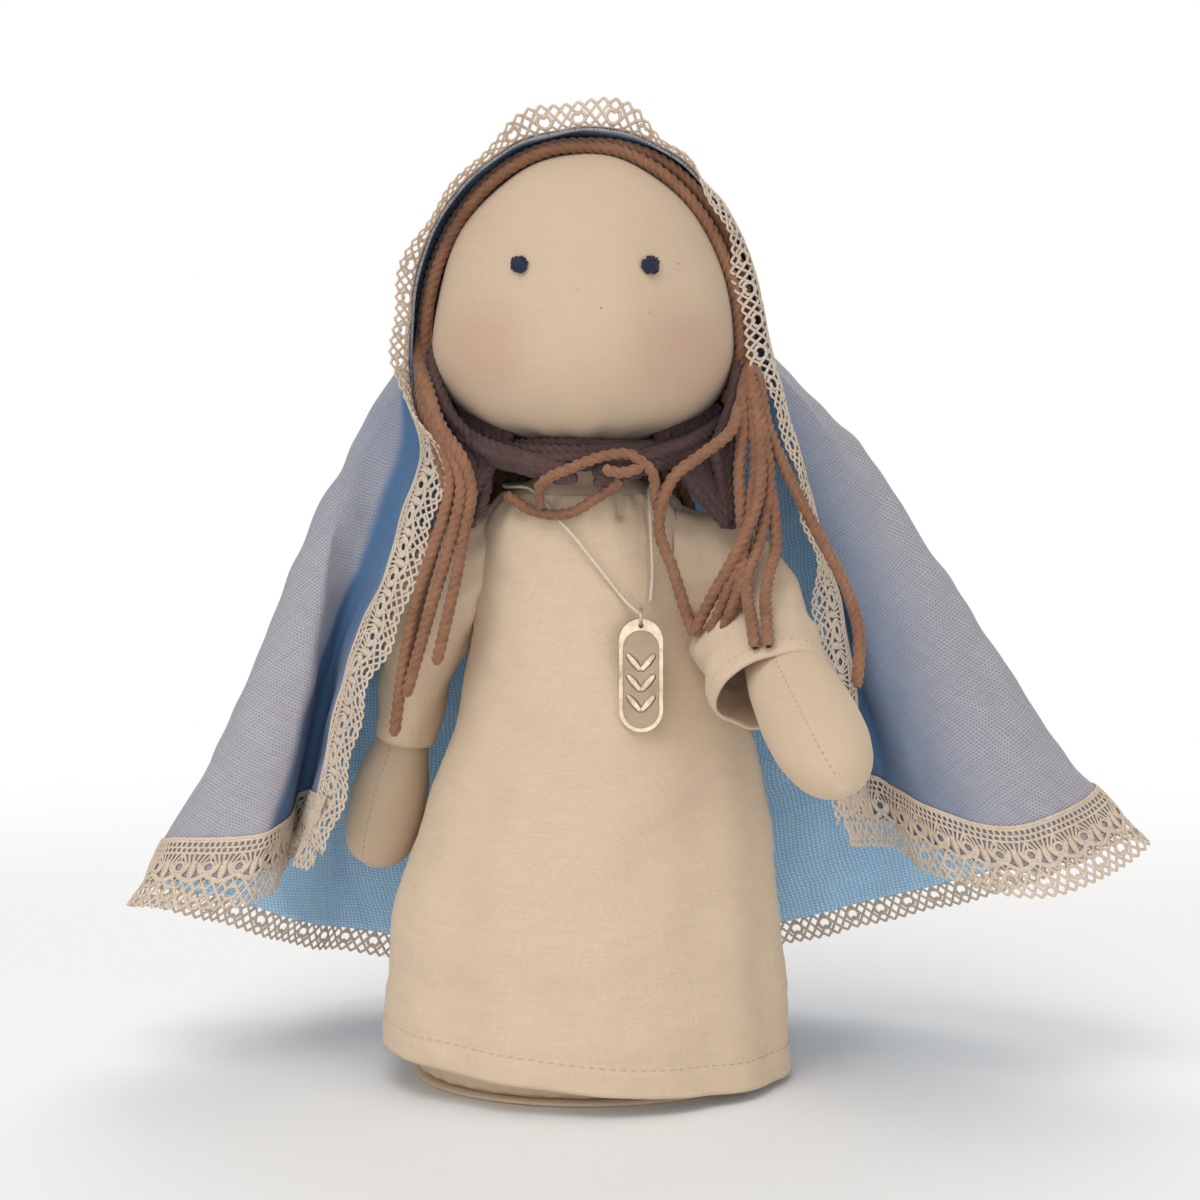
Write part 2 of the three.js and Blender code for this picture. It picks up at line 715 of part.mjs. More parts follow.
function mantlePoint(round, down) {
  const angle = THREE.MathUtils.degToRad(hoodEdgeAngle * round);
  const ridge = vec(0, lerp(ridgeBack, ridgeFront, Math.abs(round)), hoodTop);
  const side = vec(hoodRadius * Math.sin(angle), hoodRadius * Math.cos(angle), hoodLevel);
  const hem = hemCurve.getPoint((round + 1) / 2);
  const spread = Math.hypot(hem.x, hem.y);
  const fluted = smoothstep((0.62 - Math.abs(round)) / 0.2);
  const flute = backFoldDepth * Math.cos(TAU * backFolds * round) * fluted;
  hem.x += (hem.x / spread) * flute;
  hem.y += (hem.y / spread) * flute;
  const out = side.clone().sub(ridge).setZ(0);
  const height = hoodTop - hoodLevel;
  const flare = Math.hypot(hem.x - side.x, hem.y - side.y) / (hoodLevel - hem.z);
  const leave = Math.atan2(out.length(), height * flare * hoodHang);
  const turn = leave * Math.min(down, 1);
  const point = ridge.clone().addScaledVector(out, Math.sin(turn)).setZ(hoodLevel + height * Math.cos(turn));
  if (down <= 1) {
    return point;
  }
  const part = down - 1;
  const fall = hem.clone().sub(point);
  const slope = Math.cos(leave) / (height * Math.sin(leave));
  const early = out.multiplyScalar(slope * -fall.z).sub(fall.clone().setZ(0));
  point.addScaledVector(fall, part).addScaledVector(early, part * (1 - part) ** 3);
  const edge = smoothstep((Math.abs(round) - 0.72) / 0.28);
  const push = round < 0 ? leftNeckTuck * bump(part, 0.27, 0.09) : rightEdgeBow * bump(part, 0.55, 0.28);
  point.x += (edge * push + sideBelly(round, part)) * (1 - part);
  return point;
}

const mantleColumns = 50;
const mantleDowns = [0, 0.2, 0.4, 0.6, 0.8, 1, 1.1, 1.2, 1.32, 1.48, 1.7, 2];

function mantleRows() {
  return mantleDowns.map((down) => Array.from(
    { length: mantleColumns + 1 },
    (_, j) => mantlePoint((2 * j) / mantleColumns - 1, down),
  ));
}

// Directions at the front edge: along it, past it in the cloth's own plane, and out of the cloth.
function edgeFrame(side, down) {
  const step = 0.01;
  const here = mantlePoint(side, down);
  const before = mantlePoint(side, Math.max(down - step, 0));
  const along = mantlePoint(side, Math.min(down + step, 2)).sub(before).normalize();
  const past = here.clone().sub(mantlePoint(side * (1 - step), down));
  past.addScaledVector(along, -past.dot(along)).normalize();
  const out = along.clone().cross(past);
  const reference = vec(here.x, 0, Math.max(here.z - cheekHeight, 0));
  if (out.dot(reference) < 0) {
    out.negate();
  }
  return { here, past, out };
}

function laceAngle(down) {
  const beside = lerp(crownLaceAngle, sideLaceAngle, smoothstep(down / 0.6));
  return THREE.MathUtils.degToRad(lerp(beside, hangingLaceAngle, smoothstep((down - 0.9) / 0.35)));
}

function frontLaceRow(side, down) {
  const { here, past, out } = edgeFrame(side, down);
  const angle = laceAngle(down);
  const way = past.clone().multiplyScalar(Math.cos(angle)).addScaledVector(out, Math.sin(angle));
  const start = here.addScaledVector(past, touch + laceThickness / 2);
  return [0, 0.5, 1].map((part) => start.clone().addScaledVector(way, laceFreeWidth * part));
}

function frontLace() {
  const downs = mantleDowns.slice(1);
  const left = downs.map((down) => frontLaceRow(-1, down)).reverse();
  const right = downs.map((down) => frontLaceRow(1, down));
  return thicken([...left, frontLaceRow(1, 0), ...right], laceThickness);
}

function hemLace() {
  const rows = [touch, touch + laceFreeWidth].map((away) => Array.from(
    { length: mantleColumns + 1 },
    (_, j) => {
      const round = (2 * j) / mantleColumns - 1;
      const hem = mantlePoint(round, 2);
      const way = hem.clone().sub(mantlePoint(round, 1.98)).normalize();
      return hem.addScaledVector(way, away);
    },
  ));
  return thicken(rows, laceThickness);
}

// Pendant: a plain oblong plate with a raised rim and a leaf sprig, hung from a ring on the cord.

const ringHeight = shoulderHeight - pendantDrop;
const ringHoleDrop = pendantRim * 1.9; // the plate's top down to the ring's hole
const plateTop = ringHeight - ringRadius + ringHoleDrop;
const plateFoot = plateTop - pendantLength;
const ringY = chestY(ringHeight) - ringRadius - ringWire - touch;
const plateFootY = chestY(plateFoot) - touch - pendantThickness / 2;
const plateTilt = Math.atan2(ringY - plateFootY, ringHeight - plateFoot);

// The foremost point of the gown behind the plate's width.
function chestY(z) {
  const sides = [-1, 0, 1].map((part) => pendantSide + part * pendantHalfWidth);
  return Math.min(...sides.map((x) => gownFrontY(x, z)));
}

// An upright oblong with round ends, drawn from its top down.
function oblong(halfWidth, top, foot) {
  const outline = new THREE.Shape();
  outline.absarc(0, top - halfWidth, halfWidth, 0, Math.PI);
  outline.absarc(0, foot + halfWidth, halfWidth, Math.PI, TAU);
  outline.closePath();
  return outline;
}

function pendantPlate() {
  const ringHole = () => new THREE.Path().absarc(0, -ringHoleDrop, ringWire + touch, 0, TAU, true);
  const plain = { bevelEnabled: false, curveSegments: 7 };
  const outline = oblong(pendantHalfWidth, 0, -pendantLength);
  outline.holes.push(ringHole());
  const field = new THREE.ExtrudeGeometry(outline, { ...plain, depth: pendantThickness * 0.6 });
  const rim = oblong(pendantHalfWidth, 0, -pendantLength);
  rim.holes.push(oblong(pendantHalfWidth - pendantRim, -ringHoleDrop * 1.63, -pendantLength + pendantRim));
  rim.holes.push(ringHole());
  const border = new THREE.ExtrudeGeometry(rim, { ...plain, depth: pendantThickness });
  let plate = toSolid(field).add(toSolid(border));
  for (const leaf of sprigLeaves()) {
    plate = plate.add(toSolid(leaf));
  }
  return fromSolid(plate).translate(0, 0, -pendantThickness / 2).rotateX(Math.PI / 2);
}

// Leaves in pairs up a stem, each a flat bead sunk into the plate.
function sprigLeaves() {
  const leaves = [];
  const pairs = 3;
  const long = pendantLength * 0.11;
  for (let i = 0; i < pairs; i += 1) {
    for (const side of [-1, 1]) {
      const leaf = new THREE.SphereGeometry(1, 6, 4).scale(long * 0.36, long, pendantThickness * 0.32);
      leaf.rotateZ(-side * 0.7);
      const y = -pendantLength * (0.44 + (0.36 * i) / (pairs - 1));
      leaves.push(leaf.translate(side * long * 0.55, y + long * 0.5, pendantThickness * 0.6));
    }
  }
  return leaves;
}

function hangPendant() {
  const hung = new THREE.Group();
  const plate = mesh("pendant_plate", pendantPlate(), 0xb9b2a6, 0.4, 0.9);
  plate.position.set(0, 0, ringHoleDrop - ringRadius);
  const wire = new THREE.TorusGeometry(ringRadius, ringWire, 6, 16).rotateY(Math.PI / 2);
  const hoop = mesh("pendant_ring", wire, 0xb4aca0, 0.35, 0.95);
  hung.add(plate, hoop);
  hung.position.set(pendantSide, ringY, ringHeight);
  hung.rotation.x = -plateTilt;
  return hung;
}

// Necklace cord: up the chest on both sides of the ring and round the top of the neckline.
const cordLow = ringHeight + ringRadius - ringWire - cordRadius - ringPlay;

function onChest(sideways, up) {
  const x = pendantSide + sideways;
  const z = cordLow + up;
  return vec(x, gownFrontY(x, z) - cordRadius - cordStandOff, z);
}

function onNeckline(degrees) {
  const angle = THREE.MathUtils.degToRad(degrees);
  const x = gownHalfWidth(necklineHeight) * Math.sin(angle);
  const y = -gownHalfDepth(necklineHeight) * Math.cos(angle);
  return vec(x, y, necklineHeight + cordRadius + cordStandOff);
}

function necklaceCord() {
  const left = [[-4, 3], [-12, 13], [-20, 23], [-26.5, 30], [-29, 33]].map((p) => onChest(...p));
  const right = [[2.8, 31], [3.2, 22], [3.6, 12], [3, 3.5]].map((p) => onChest(...p));
  const round = [-42, -75, -110, -150, 180, 150, 110, 75, 52].map(onNeckline);
  const route = [vec(pendantSide, ringY, cordLow), ...left, ...round, ...right];
  return tube(new THREE.CatmullRomCurve3(route, false, "centripetal"), cordRadius, 62, 4);
}

const doll = new THREE.Group();
doll.name = "rag_doll";

doll.add(
  mesh("bottom_panel", bottomPanel(), skinColour, 0.9),
  mesh("bottom_card", cardDisc(), 0xb59a72, 0.9),
  mesh("weight_bag", weightBag(), 0xcfc6b4, 0.95),
  mesh("body_filling", bodyFilling(), fillingColour, 1),
  mesh("body_skin", bodySkin(), skinColour, 0.9),
  mesh("head_skin", headSkin(), skinColour, 0.9),
  mesh("head_filling", headFilling(), fillingColour, 1),
  eye("left_eye", -1),
  eye("right_eye", 1),
  mesh("hair_cap", hairCap(), hairColour, 0.95),
  mesh("neck_hair", neckHair(), hairColour, 0.95),
  mesh("back_hair", backHair(), hairColour, 0.95),
  mesh("left_lock", lock(-leftLockStart, leftLockDrop, leftLockRoute), hairColour, 0.95),
  mesh("right_inner_lock", lock(innerLockStart, innerLockDrop, innerLockRoute), hairColour, 0.95),
  mesh("right_outer_lock", lock(outerLockStart, outerLockDrop, outerLockRoute), hairColour, 0.95),
  mesh("throat_tie", throatTie(), hairColour, 0.95),
  mesh("gown_body", gownBody(), gownColour, 0.95),
  mesh("mantle", thicken(mantleRows(), mantleCloth), mantleColour, 0.95),
  mesh("front_lace", frontLace(), laceColour, 0.95),
  mesh("hem_lace", hemLace(), laceColour, 0.95),
  mesh("necklace_cord", necklaceCord(), threadColour, 0.85),
  hangPendant(),
);

for (const [side, arm, cuffAcross, cuffDeep] of [
  ["left", leftArm, leftCuffAcross, leftCuffDeep],
  ["right", rightArm, rightCuffAcross, rightCuffDeep],
]) {
  doll.add(
    mesh(`${side}_arm_skin`, armSkin(arm), skinColour, 0.9),
    mesh(`${side}_arm_filling`, armFilling(arm), fillingColour, 1),
    mesh(`${side}_sleeve`, sleeve(arm, cuffAcross, cuffDeep), gownColour, 0.95),
    mesh(`${side}_shoulder_lashing`, lashing(arm), threadColour, 0.85),
  );
}

// Hinges, each with a point on its axis and the axis's direction.
doll.userData.hinges = {
  neck_turn: { at: vec(0, 0, neckTop), axis: Z_AXIS },
  left_shoulder: { at: leftArm.pivot, axis: leftArm.axis },
  right_shoulder: { at: rightArm.pivot, axis: rightArm.axis },
  pendant_swing: {
    at: vec(pendantSide, ringY, cordLow),
    axis: vec(-1, 0, 0),
  },
};

export default doll;
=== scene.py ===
"""Looks of a rag doll in a linen gown and a hooded, lace-edged mantle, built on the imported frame.

Lengths in this file are millimetres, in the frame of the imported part. Meshes are made in metres.
"""

import logging
from dataclasses import dataclass, field
from enum import Enum
from typing import Optional, Sequence

import bmesh
import bpy
import numpy as np
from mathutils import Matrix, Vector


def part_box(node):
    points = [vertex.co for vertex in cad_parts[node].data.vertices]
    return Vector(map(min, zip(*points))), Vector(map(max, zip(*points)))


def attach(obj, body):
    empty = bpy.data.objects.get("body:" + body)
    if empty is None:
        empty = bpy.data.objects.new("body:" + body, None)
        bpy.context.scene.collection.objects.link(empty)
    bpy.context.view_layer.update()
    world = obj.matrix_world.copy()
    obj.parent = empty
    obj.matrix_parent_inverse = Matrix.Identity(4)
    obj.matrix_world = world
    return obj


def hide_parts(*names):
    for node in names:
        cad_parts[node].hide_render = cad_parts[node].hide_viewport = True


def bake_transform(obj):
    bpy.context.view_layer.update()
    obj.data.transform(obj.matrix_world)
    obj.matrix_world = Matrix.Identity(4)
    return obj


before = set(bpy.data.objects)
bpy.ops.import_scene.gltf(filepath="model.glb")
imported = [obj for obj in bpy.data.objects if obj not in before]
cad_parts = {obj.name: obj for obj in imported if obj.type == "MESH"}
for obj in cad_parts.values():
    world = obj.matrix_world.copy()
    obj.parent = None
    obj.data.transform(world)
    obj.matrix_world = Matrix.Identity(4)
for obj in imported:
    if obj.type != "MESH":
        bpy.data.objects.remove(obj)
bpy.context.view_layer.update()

Array = np.ndarray
Colour = tuple[float, float, float]
Piece = bpy.types.Object
Material = bpy.types.Material
Node = bpy.types.Node
NodeTree = bpy.types.NodeTree
Socket = bpy.types.NodeSocket
MM = 0.001
TAU = 2 * np.pi
LOG = logging.getLogger("rag_doll")
# Samples of a curve between two of its control points.
CURVE_STEPS = 40
# Corners closer than this are joined, and edges shorter than the second are dissolved, in metres.
JOIN, DISSOLVE = 2e-6, 1e-7
# A ply's middle and its radius, as shares of a plied tube's radius.
PLY_MIDDLE, PLY_RADIUS = 0.47, 0.53
# An inset that closes any ring of the doll to its middle.
CLOSED = 99.0
# Thickness of the gown's cloth.
LINEN = 1.0
# How the skin's cloth behaves while it is stuffed, and for how many steps.
STUFFING = {
    "vertex_group_mass": "seam", "quality": 6, "mass": 0.1, "tension_stiffness": 18, "compression_stiffness": 18,
    "bending_stiffness": 0.4, "use_pressure": True, "uniform_pressure_force": 4.0,
}
STUFFING_STEPS = 20
# Share of a thread's ridge under which the weave is a hole, and over which it is closed.
HOLE_EDGE = (0.42, 0.88)
# Line of the mantle's left fold, where the painted shade behind the left front edge begins: places down the cloth, and
# how far round it lies there.
FOLD_LINE = ((1.1, 1.5, 1.7, 2.0), (0.85, 0.826, 0.726, 0.705))
# How far woven threads wander in millimetres, and how often along the cloth.
WANDER, WANDER_SCALE = 1.6, 0.12


class Side(Enum):
    """Side of the doll as the viewer sees it, with its sign along X."""

    LEFT = -1
    RIGHT = 1

    @property
    def label(self) -> str:
        """The side's name as pieces and bodies have it."""
        return self.name.lower()


# Small numeric tools


def smooth(t: Array) -> Array:
    """Eased step from 0 to 1 over the unit interval."""
    t = np.clip(t, 0, 1)
    return t * t * (3 - 2 * t)


def mixed(a: Array, b: Array, t: Array) -> Array:
    """Straight mix of a and b by share t."""
    return a + (b - a) * t


def bump(value: Array, middle: float, reach: float) -> Array:
    """Bell curve of height 1."""
    return np.exp(-(((value - middle) / reach) ** 2))


def unit(vectors: Array) -> Array:
    """Vectors scaled to length 1 along the last axis."""
    return vectors / np.maximum(np.linalg.norm(vectors, axis=-1, keepdims=True), 1e-9)


def linear(red: float, green: float, blue: float) -> Colour:
    """Display colour (0 to 255) as the linear colour that shaders take."""
    c = np.array([red, green, blue]) / 255
    c = np.where(c <= 0.04045, c / 12.92, ((c + 0.055) / 1.055) ** 2.4)
    return tuple(float(x) for x in c)


class Ripple:
    """Repeatable smooth unevenness of about unit height: a sum of sine waves in seeded directions."""

    def __init__(self, seed: int, wavelength: float, count: int = 16) -> None:
        """Draw the waves.

        Args:
            seed: number that fixes the pattern.
            wavelength: typical distance between crests.
            count: number of waves.
        """
        rng = np.random.default_rng(seed)
        way = unit(rng.normal(size=(count, 3)))
        self.frequency = way * (TAU / wavelength * rng.uniform(0.6, 1.6, (count, 1)))
        self.phase = rng.uniform(0, TAU, count)

    def __call__(self, *coords: Array) -> Array:
        """Height of the waves at the given coordinates."""
        total = self.phase
        for axis, value in enumerate(coords):
            total = total + np.asarray(value)[..., None] * self.frequency[:, axis]
        return np.sin(total).sum(-1) / np.sqrt(len(self.phase) / 2)


def run_length(points: Array, axis: int = 0) -> Array:
    """Distance run along one axis of a row or grid of points, from 0 at its first place."""
    step = np.linalg.norm(np.diff(points, axis=axis), axis=-1)
    return np.concatenate([np.zeros_like(step.take([0], axis)), np.cumsum(step, axis)], axis)


def with_ends(points: Sequence[Sequence[float]]) -> Array:
    """Control points with one more in line at each end."""
    p = np.asarray(points, float)
    return np.vstack([2 * p[0] - p[1], p, 2 * p[-1] - p[-2]])


def hermite(a: Array, b: Array, start: Array, stop: Array, t: Array) -> Array:
    """Cubic curve from a to b with the slopes start and stop, at share t."""
    return a + start * t + (3 * (b - a) - 2 * start - stop) * t**2 + (2 * (a - b) + start + stop) * t**3


def spline(points: Sequence[Sequence[float]], count: int) -> Array:
    """Centripetal Catmull-Rom curve through the points, resampled at even distances.

    Args:
        points: the control points, each x, y, z.
        count: number of samples.

    Returns:
        Array of count points.
    """
    p = with_ends(points)
    step = np.maximum(np.linalg.norm(np.diff(p, axis=0), axis=1) ** 0.5, 1e-6)[:, None]
    before, here, after = step[:-2], step[1:-1], step[2:]
    slope = np.diff(p, axis=0) / step
    start = (slope[:-2] - (p[2:-1] - p[:-3]) / (before + here) + slope[1:-1]) * here
    stop = (slope[1:-1] - (p[3:] - p[1:-2]) / (here + after) + slope[2:]) * here
    t = np.linspace(0, 1, CURVE_STEPS)[None, :, None]
    curve = hermite(p[1:-2][:, None], p[2:-1][:, None], start[:, None], stop[:, None], t)
    return even_path(curve.reshape(-1, 3), count)


def even_path(path: Array, count: int) -> Array:
    """The same path with its points at even distances."""
    along = run_length(path)
    target = np.linspace(0, along[-1], count)
    return np.stack([np.interp(target, along, path[:, axis]) for axis in range(3)], axis=1)


# Meshes from arrays


def grid_faces(rows: int, columns: int, copies: int = 1) -> Array:
    """Four-cornered faces between neighbouring rows and columns of one or more equal grids."""
    corner = np.arange(rows * columns).reshape(rows, columns)
    face = np.stack([corner[:-1, :-1], corner[:-1, 1:], corner[1:, 1:], corner[1:, :-1]], -1).reshape(-1, 4)
    return (face[None] + (np.arange(copies) * rows * columns)[:, None, None]).reshape(-1, 4)


def make_piece(name: str, points: Array, faces: Array, uv: Optional[Array] = None,
               turned: Optional[Array] = None) -> Piece:
    """Mesh object from points and four-cornered faces, with doubles joined so that seams and poles close.

    Args:
        name: name of the piece.
        points: N by 3, in millimetres.
        faces: M by 4 corner numbers.
        uv: N by 2 pattern coordinates in millimetres.
        turned: N shares of painted shade, a deeper blue over the cloth's folds, kept as the attribute "turned".

    Returns:
        The new object, linked to the scene.
    """
    mesh = bpy.data.meshes.new(name)
    mesh.vertices.add(len(points))
    mesh.vertices.foreach_set("co", (points * MM).astype(np.float32).ravel())
    mesh.loops.add(faces.size)
    mesh.loops.foreach_set("vertex_index", faces.astype(np.int32).ravel())
    mesh.polygons.add(len(faces))
    mesh.polygons.foreach_set("loop_start", np.arange(0, faces.size, 4, dtype=np.int32))
    mesh.update(calc_edges=True)
    if uv is not None:
        layer = mesh.uv_layers.new(name="cloth")
        layer.data.foreach_set("uv", uv[faces.ravel()].astype(np.float32).ravel())
    if turned is not None:
        mesh.attributes.new("turned", "FLOAT", "POINT").data.foreach_set("value", turned.astype(np.float32))
    work = bmesh.new()
    work.from_mesh(mesh)
    bmesh.ops.remove_doubles(work, verts=work.verts, dist=JOIN)
    bmesh.ops.dissolve_degenerate(work, edges=work.edges, dist=DISSOLVE)
    work.to_mesh(mesh)
    work.free()
    mesh.polygons.foreach_set("use_smooth", np.ones(len(mesh.polygons), bool))
    piece = bpy.data.objects.new(name, mesh)
    bpy.context.scene.collection.objects.link(piece)
    LOG.info("made %s: %d faces", name, len(mesh.polygons))
    return piece


def grid_piece(name: str, points: Array, uv: Optional[Array] = None,
               turned: Optional[Array] = None) -> Piece:
    """Mesh object from one grid of rows and columns of points."""
    rows, columns = points.shape[:2]
    flat_uv = None if uv is None else uv.reshape(-1, 2)
    flat_turned = None if turned is None else turned.ravel()
    return make_piece(name, points.reshape(-1, 3), grid_faces(rows, columns), flat_uv, flat_turned)


def carried_frames(paths: Array) -> tuple[Array, Array]:
    """Two directions square to each path, carried along it without twisting.

    Args:
        paths: S paths of K points, S by K by 3.

    Returns:
        The first and second direction, each S by K by 3.
    """
    along = unit(np.gradient(paths, axis=1))
    guide = np.where(np.abs(along[:, :1, 2:]) < 0.9, np.array([0.0, 0, 1]), np.array([1.0, 0, 0]))
    first = [unit(np.cross(along[:, 0], guide[:, 0]))]
    for k in range(1, paths.shape[1]):
        last = first[-1]
        first.append(unit(last - (last * along[:, k]).sum(-1, keepdims=True) * along[:, k]))
    normal = np.stack(first, axis=1)
    return normal, np.cross(along, normal)


def tube_grid(paths: Array, radius: Array, sides: int, lobes: int = 0, pitch: float = 9.0) -> tuple[Array, Array]:
    """Closed tubes along paths: a ring carried along each path, with its ends drawn to a point.

    A plied tube's ring is the outline of equal circles side by side, turned by a full turn every pitch.

    Args:
        paths: S by K by 3 points.
        radius: S by K outer radii.
        sides: points round the ring.
        lobes: number of plies, 0 for a plain round tube.
        pitch: distance along the tube for a full turn of the plies.

    Returns:
        Points S by K+2 by sides+1 by 3, and pattern coordinates along and around in millimetres.
    """
    normal, binormal = carried_frames(paths)
    along = run_length(paths, 1)
    angle = np.linspace(0, TAU, sides + 1)
    reach = np.ones((*paths.shape[:2], sides + 1))
    turn = along[..., None] * (TAU / pitch)
    if lobes:
        share = TAU / lobes
        off = (angle - turn + share / 2) % share - share / 2
        reach = PLY_MIDDLE * np.cos(off) + np.sqrt(PLY_RADIUS**2 - (PLY_MIDDLE * np.sin(off)) ** 2)
    ring = np.cos(angle)[:, None] * normal[:, :, None] + np.sin(angle)[:, None] * binormal[:, :, None]
    body = paths[:, :, None] + ring * (reach * radius[..., None])[..., None]
    ends = [np.repeat(paths[:, k : k + 1, None], sides + 1, axis=2) for k in (0, -1)]
    points = np.concatenate([ends[0], body, ends[1]], axis=1)
    row = np.concatenate([along[:, :1], along, along[:, -1:]], axis=1)
    around = (angle - turn) * radius.mean()
    around = np.concatenate([around[:, :1], around, around[:, -1:]], axis=1)
    uv = np.stack([np.broadcast_to(row[..., None], around.shape), around], axis=-1)
    return points, uv


def tube_piece(name: str, grids: Sequence[tuple[Array, Array]]) -> Piece:
    """One piece from several sets of tubes."""
    points, faces, uvs, first = [], [], [], 0
    for grid, uv in grids:
        copies, rows, columns = grid.shape[:3]
        points.append(grid.reshape(-1, 3))
        uvs.append(uv.reshape(-1, 2))
        faces.append(grid_faces(rows, columns, copies) + first)
        first += copies * rows * columns
    return make_piece(name, np.vstack(points), np.vstack(faces), np.vstack(uvs))


def even_radius(paths: Array, radius: float) -> Array:
    """Radius along each path, rounded off at both ends."""
    share = np.linspace(0, 1, paths.shape[1])
    ends = np.sqrt(np.clip(np.minimum(share, 1 - share) * 60 + 0.25, 0, 1))
    return np.broadcast_to(radius * ends, paths.shape[:2])


def stitch_row(name: str, path: Array, length: float, gap: float, radius: float) -> Piece:
    """Running stitches along a path: short thread tubes with gaps between them."""
    steps = 8
    count = max(int(run_length(path)[-1] / (length + gap)), 2)
    fine = even_path(path, count * steps + 1)[:-1].reshape(count, steps, 3)
    stitch = fine[:, : max(int(round(steps * length / (length + gap))), 3)]
    size = radius * np.sqrt(np.clip(np.sin(np.linspace(0.25, np.pi - 0.25, stitch.shape[1])), 0, 1))
    return tube_piece(name, [tube_grid(stitch, np.broadcast_to(size, stitch.shape[:2]), 6)])


def thicken(piece: Piece, thickness: float, inside_slot: int = 0) -> None:
    """Give a cloth its thickness towards its inside."""
    wall = piece.modifiers.new("cloth", "SOLIDIFY")
    wall.thickness = thickness * MM
    wall.offset = -1
    wall.use_even_offset = False
    wall.material_offset = inside_slot
    wall.material_offset_rim = 0


def dress(piece: Piece, *materials: Material) -> None:
    """Put materials into the piece's slots."""
    piece.data.materials.clear()
    for material in materials:
        piece.data.materials.append(material)


def declare(piece: Piece, slot: str, *materials: Material, body: str = "",
            stands_for: Sequence[str] = ()) -> None:
    """Dress a piece, and tell the frame where it belongs.

    Args:
        piece: the piece.
        slot: its material slot; not used.
        materials: its finishes.
        body: the body that it rides on, or nothing for a piece that is left unattached.
        stands_for: the solids that it replaces.
    """
    dress(piece, *materials)
    if body:
        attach(piece, body)
    if stands_for:
        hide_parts(*stands_for)


# Shader nodes


@dataclass
class Tree:
    """Adds and links the nodes of one shader tree."""

    tree: NodeTree

    def node(self, kind: str, values: Optional[dict] = None, **settings: object) -> Node:
        """New node with its settings, and its inputs set or linked by name or number."""
        node = self.tree.nodes.new(kind)
        for key, value in settings.items():
            setattr(node, key, value)
        for key, value in (values or {}).items():
            self.plug(value, node.inputs[key])
        return node

    def plug(self, value: object, socket: Socket) -> None:
        """Link a socket's output, or set a constant."""
        if isinstance(value, Socket):
            self.tree.links.new(value, socket)
        elif isinstance(value, tuple) and len(value) == 3 and socket.type == "RGBA":
            socket.default_value = (*value, 1.0)
        else:
            socket.default_value = value

    def maths(self, operation: str, a: object, b: object = 0.0, c: object = 0.0) -> Socket:
        """Result of one math operation."""
        return self.node("ShaderNodeMath", {0: a, 1: b, 2: c}, operation=operation).outputs[0]

    def vector(self, operation: str, a: object, b: object = (0.0, 0.0, 0.0)) -> Node:
        """One vector operation."""
        return self.node("ShaderNodeVectorMath", {0: a, 1: b}, operation=operation)

    def blend(self, share: object, a: object, b: object) -> Socket:
        """Colour a turning into colour b by a share."""
        return self.node("ShaderNodeMix", {0: share, 6: a, 7: b}, data_type="RGBA").outputs[2]

    def span(self, value: Socket, low: float, high: float, start: float = 0.0, stop: float = 1.0) -> Socket:
        """Value carried from one range to another, with eased ends."""
        numbers = {"Value": value, 1: low, 2: high, 3: start, 4: stop}
        return self.node("ShaderNodeMapRange", numbers, interpolation_type="SMOOTHSTEP").outputs[0]

    def noise(self, vector: Socket, scale: float, detail: float = 2.0) -> Socket:
        """Cloudy value about one half."""
        return self.node("ShaderNodeTexNoise", {"Vector": vector, "Scale": scale, "Detail": detail}).outputs[0]

    def tilt(self, shader: Node, height: Socket, strength: float, depth: float) -> None:
        """Tilt the shader's normal by a bump of the given depth in millimetres."""
        node = self.node("ShaderNodeBump", {"Height": height, "Strength": strength, "Distance": depth * MM})
        self.plug(node.outputs[0], shader.inputs["Normal"])

    def group(self, group: NodeTree, values: dict) -> Node:
        """A shared effect placed in this tree."""
        return self.node("ShaderNodeGroup", values, node_tree=group)


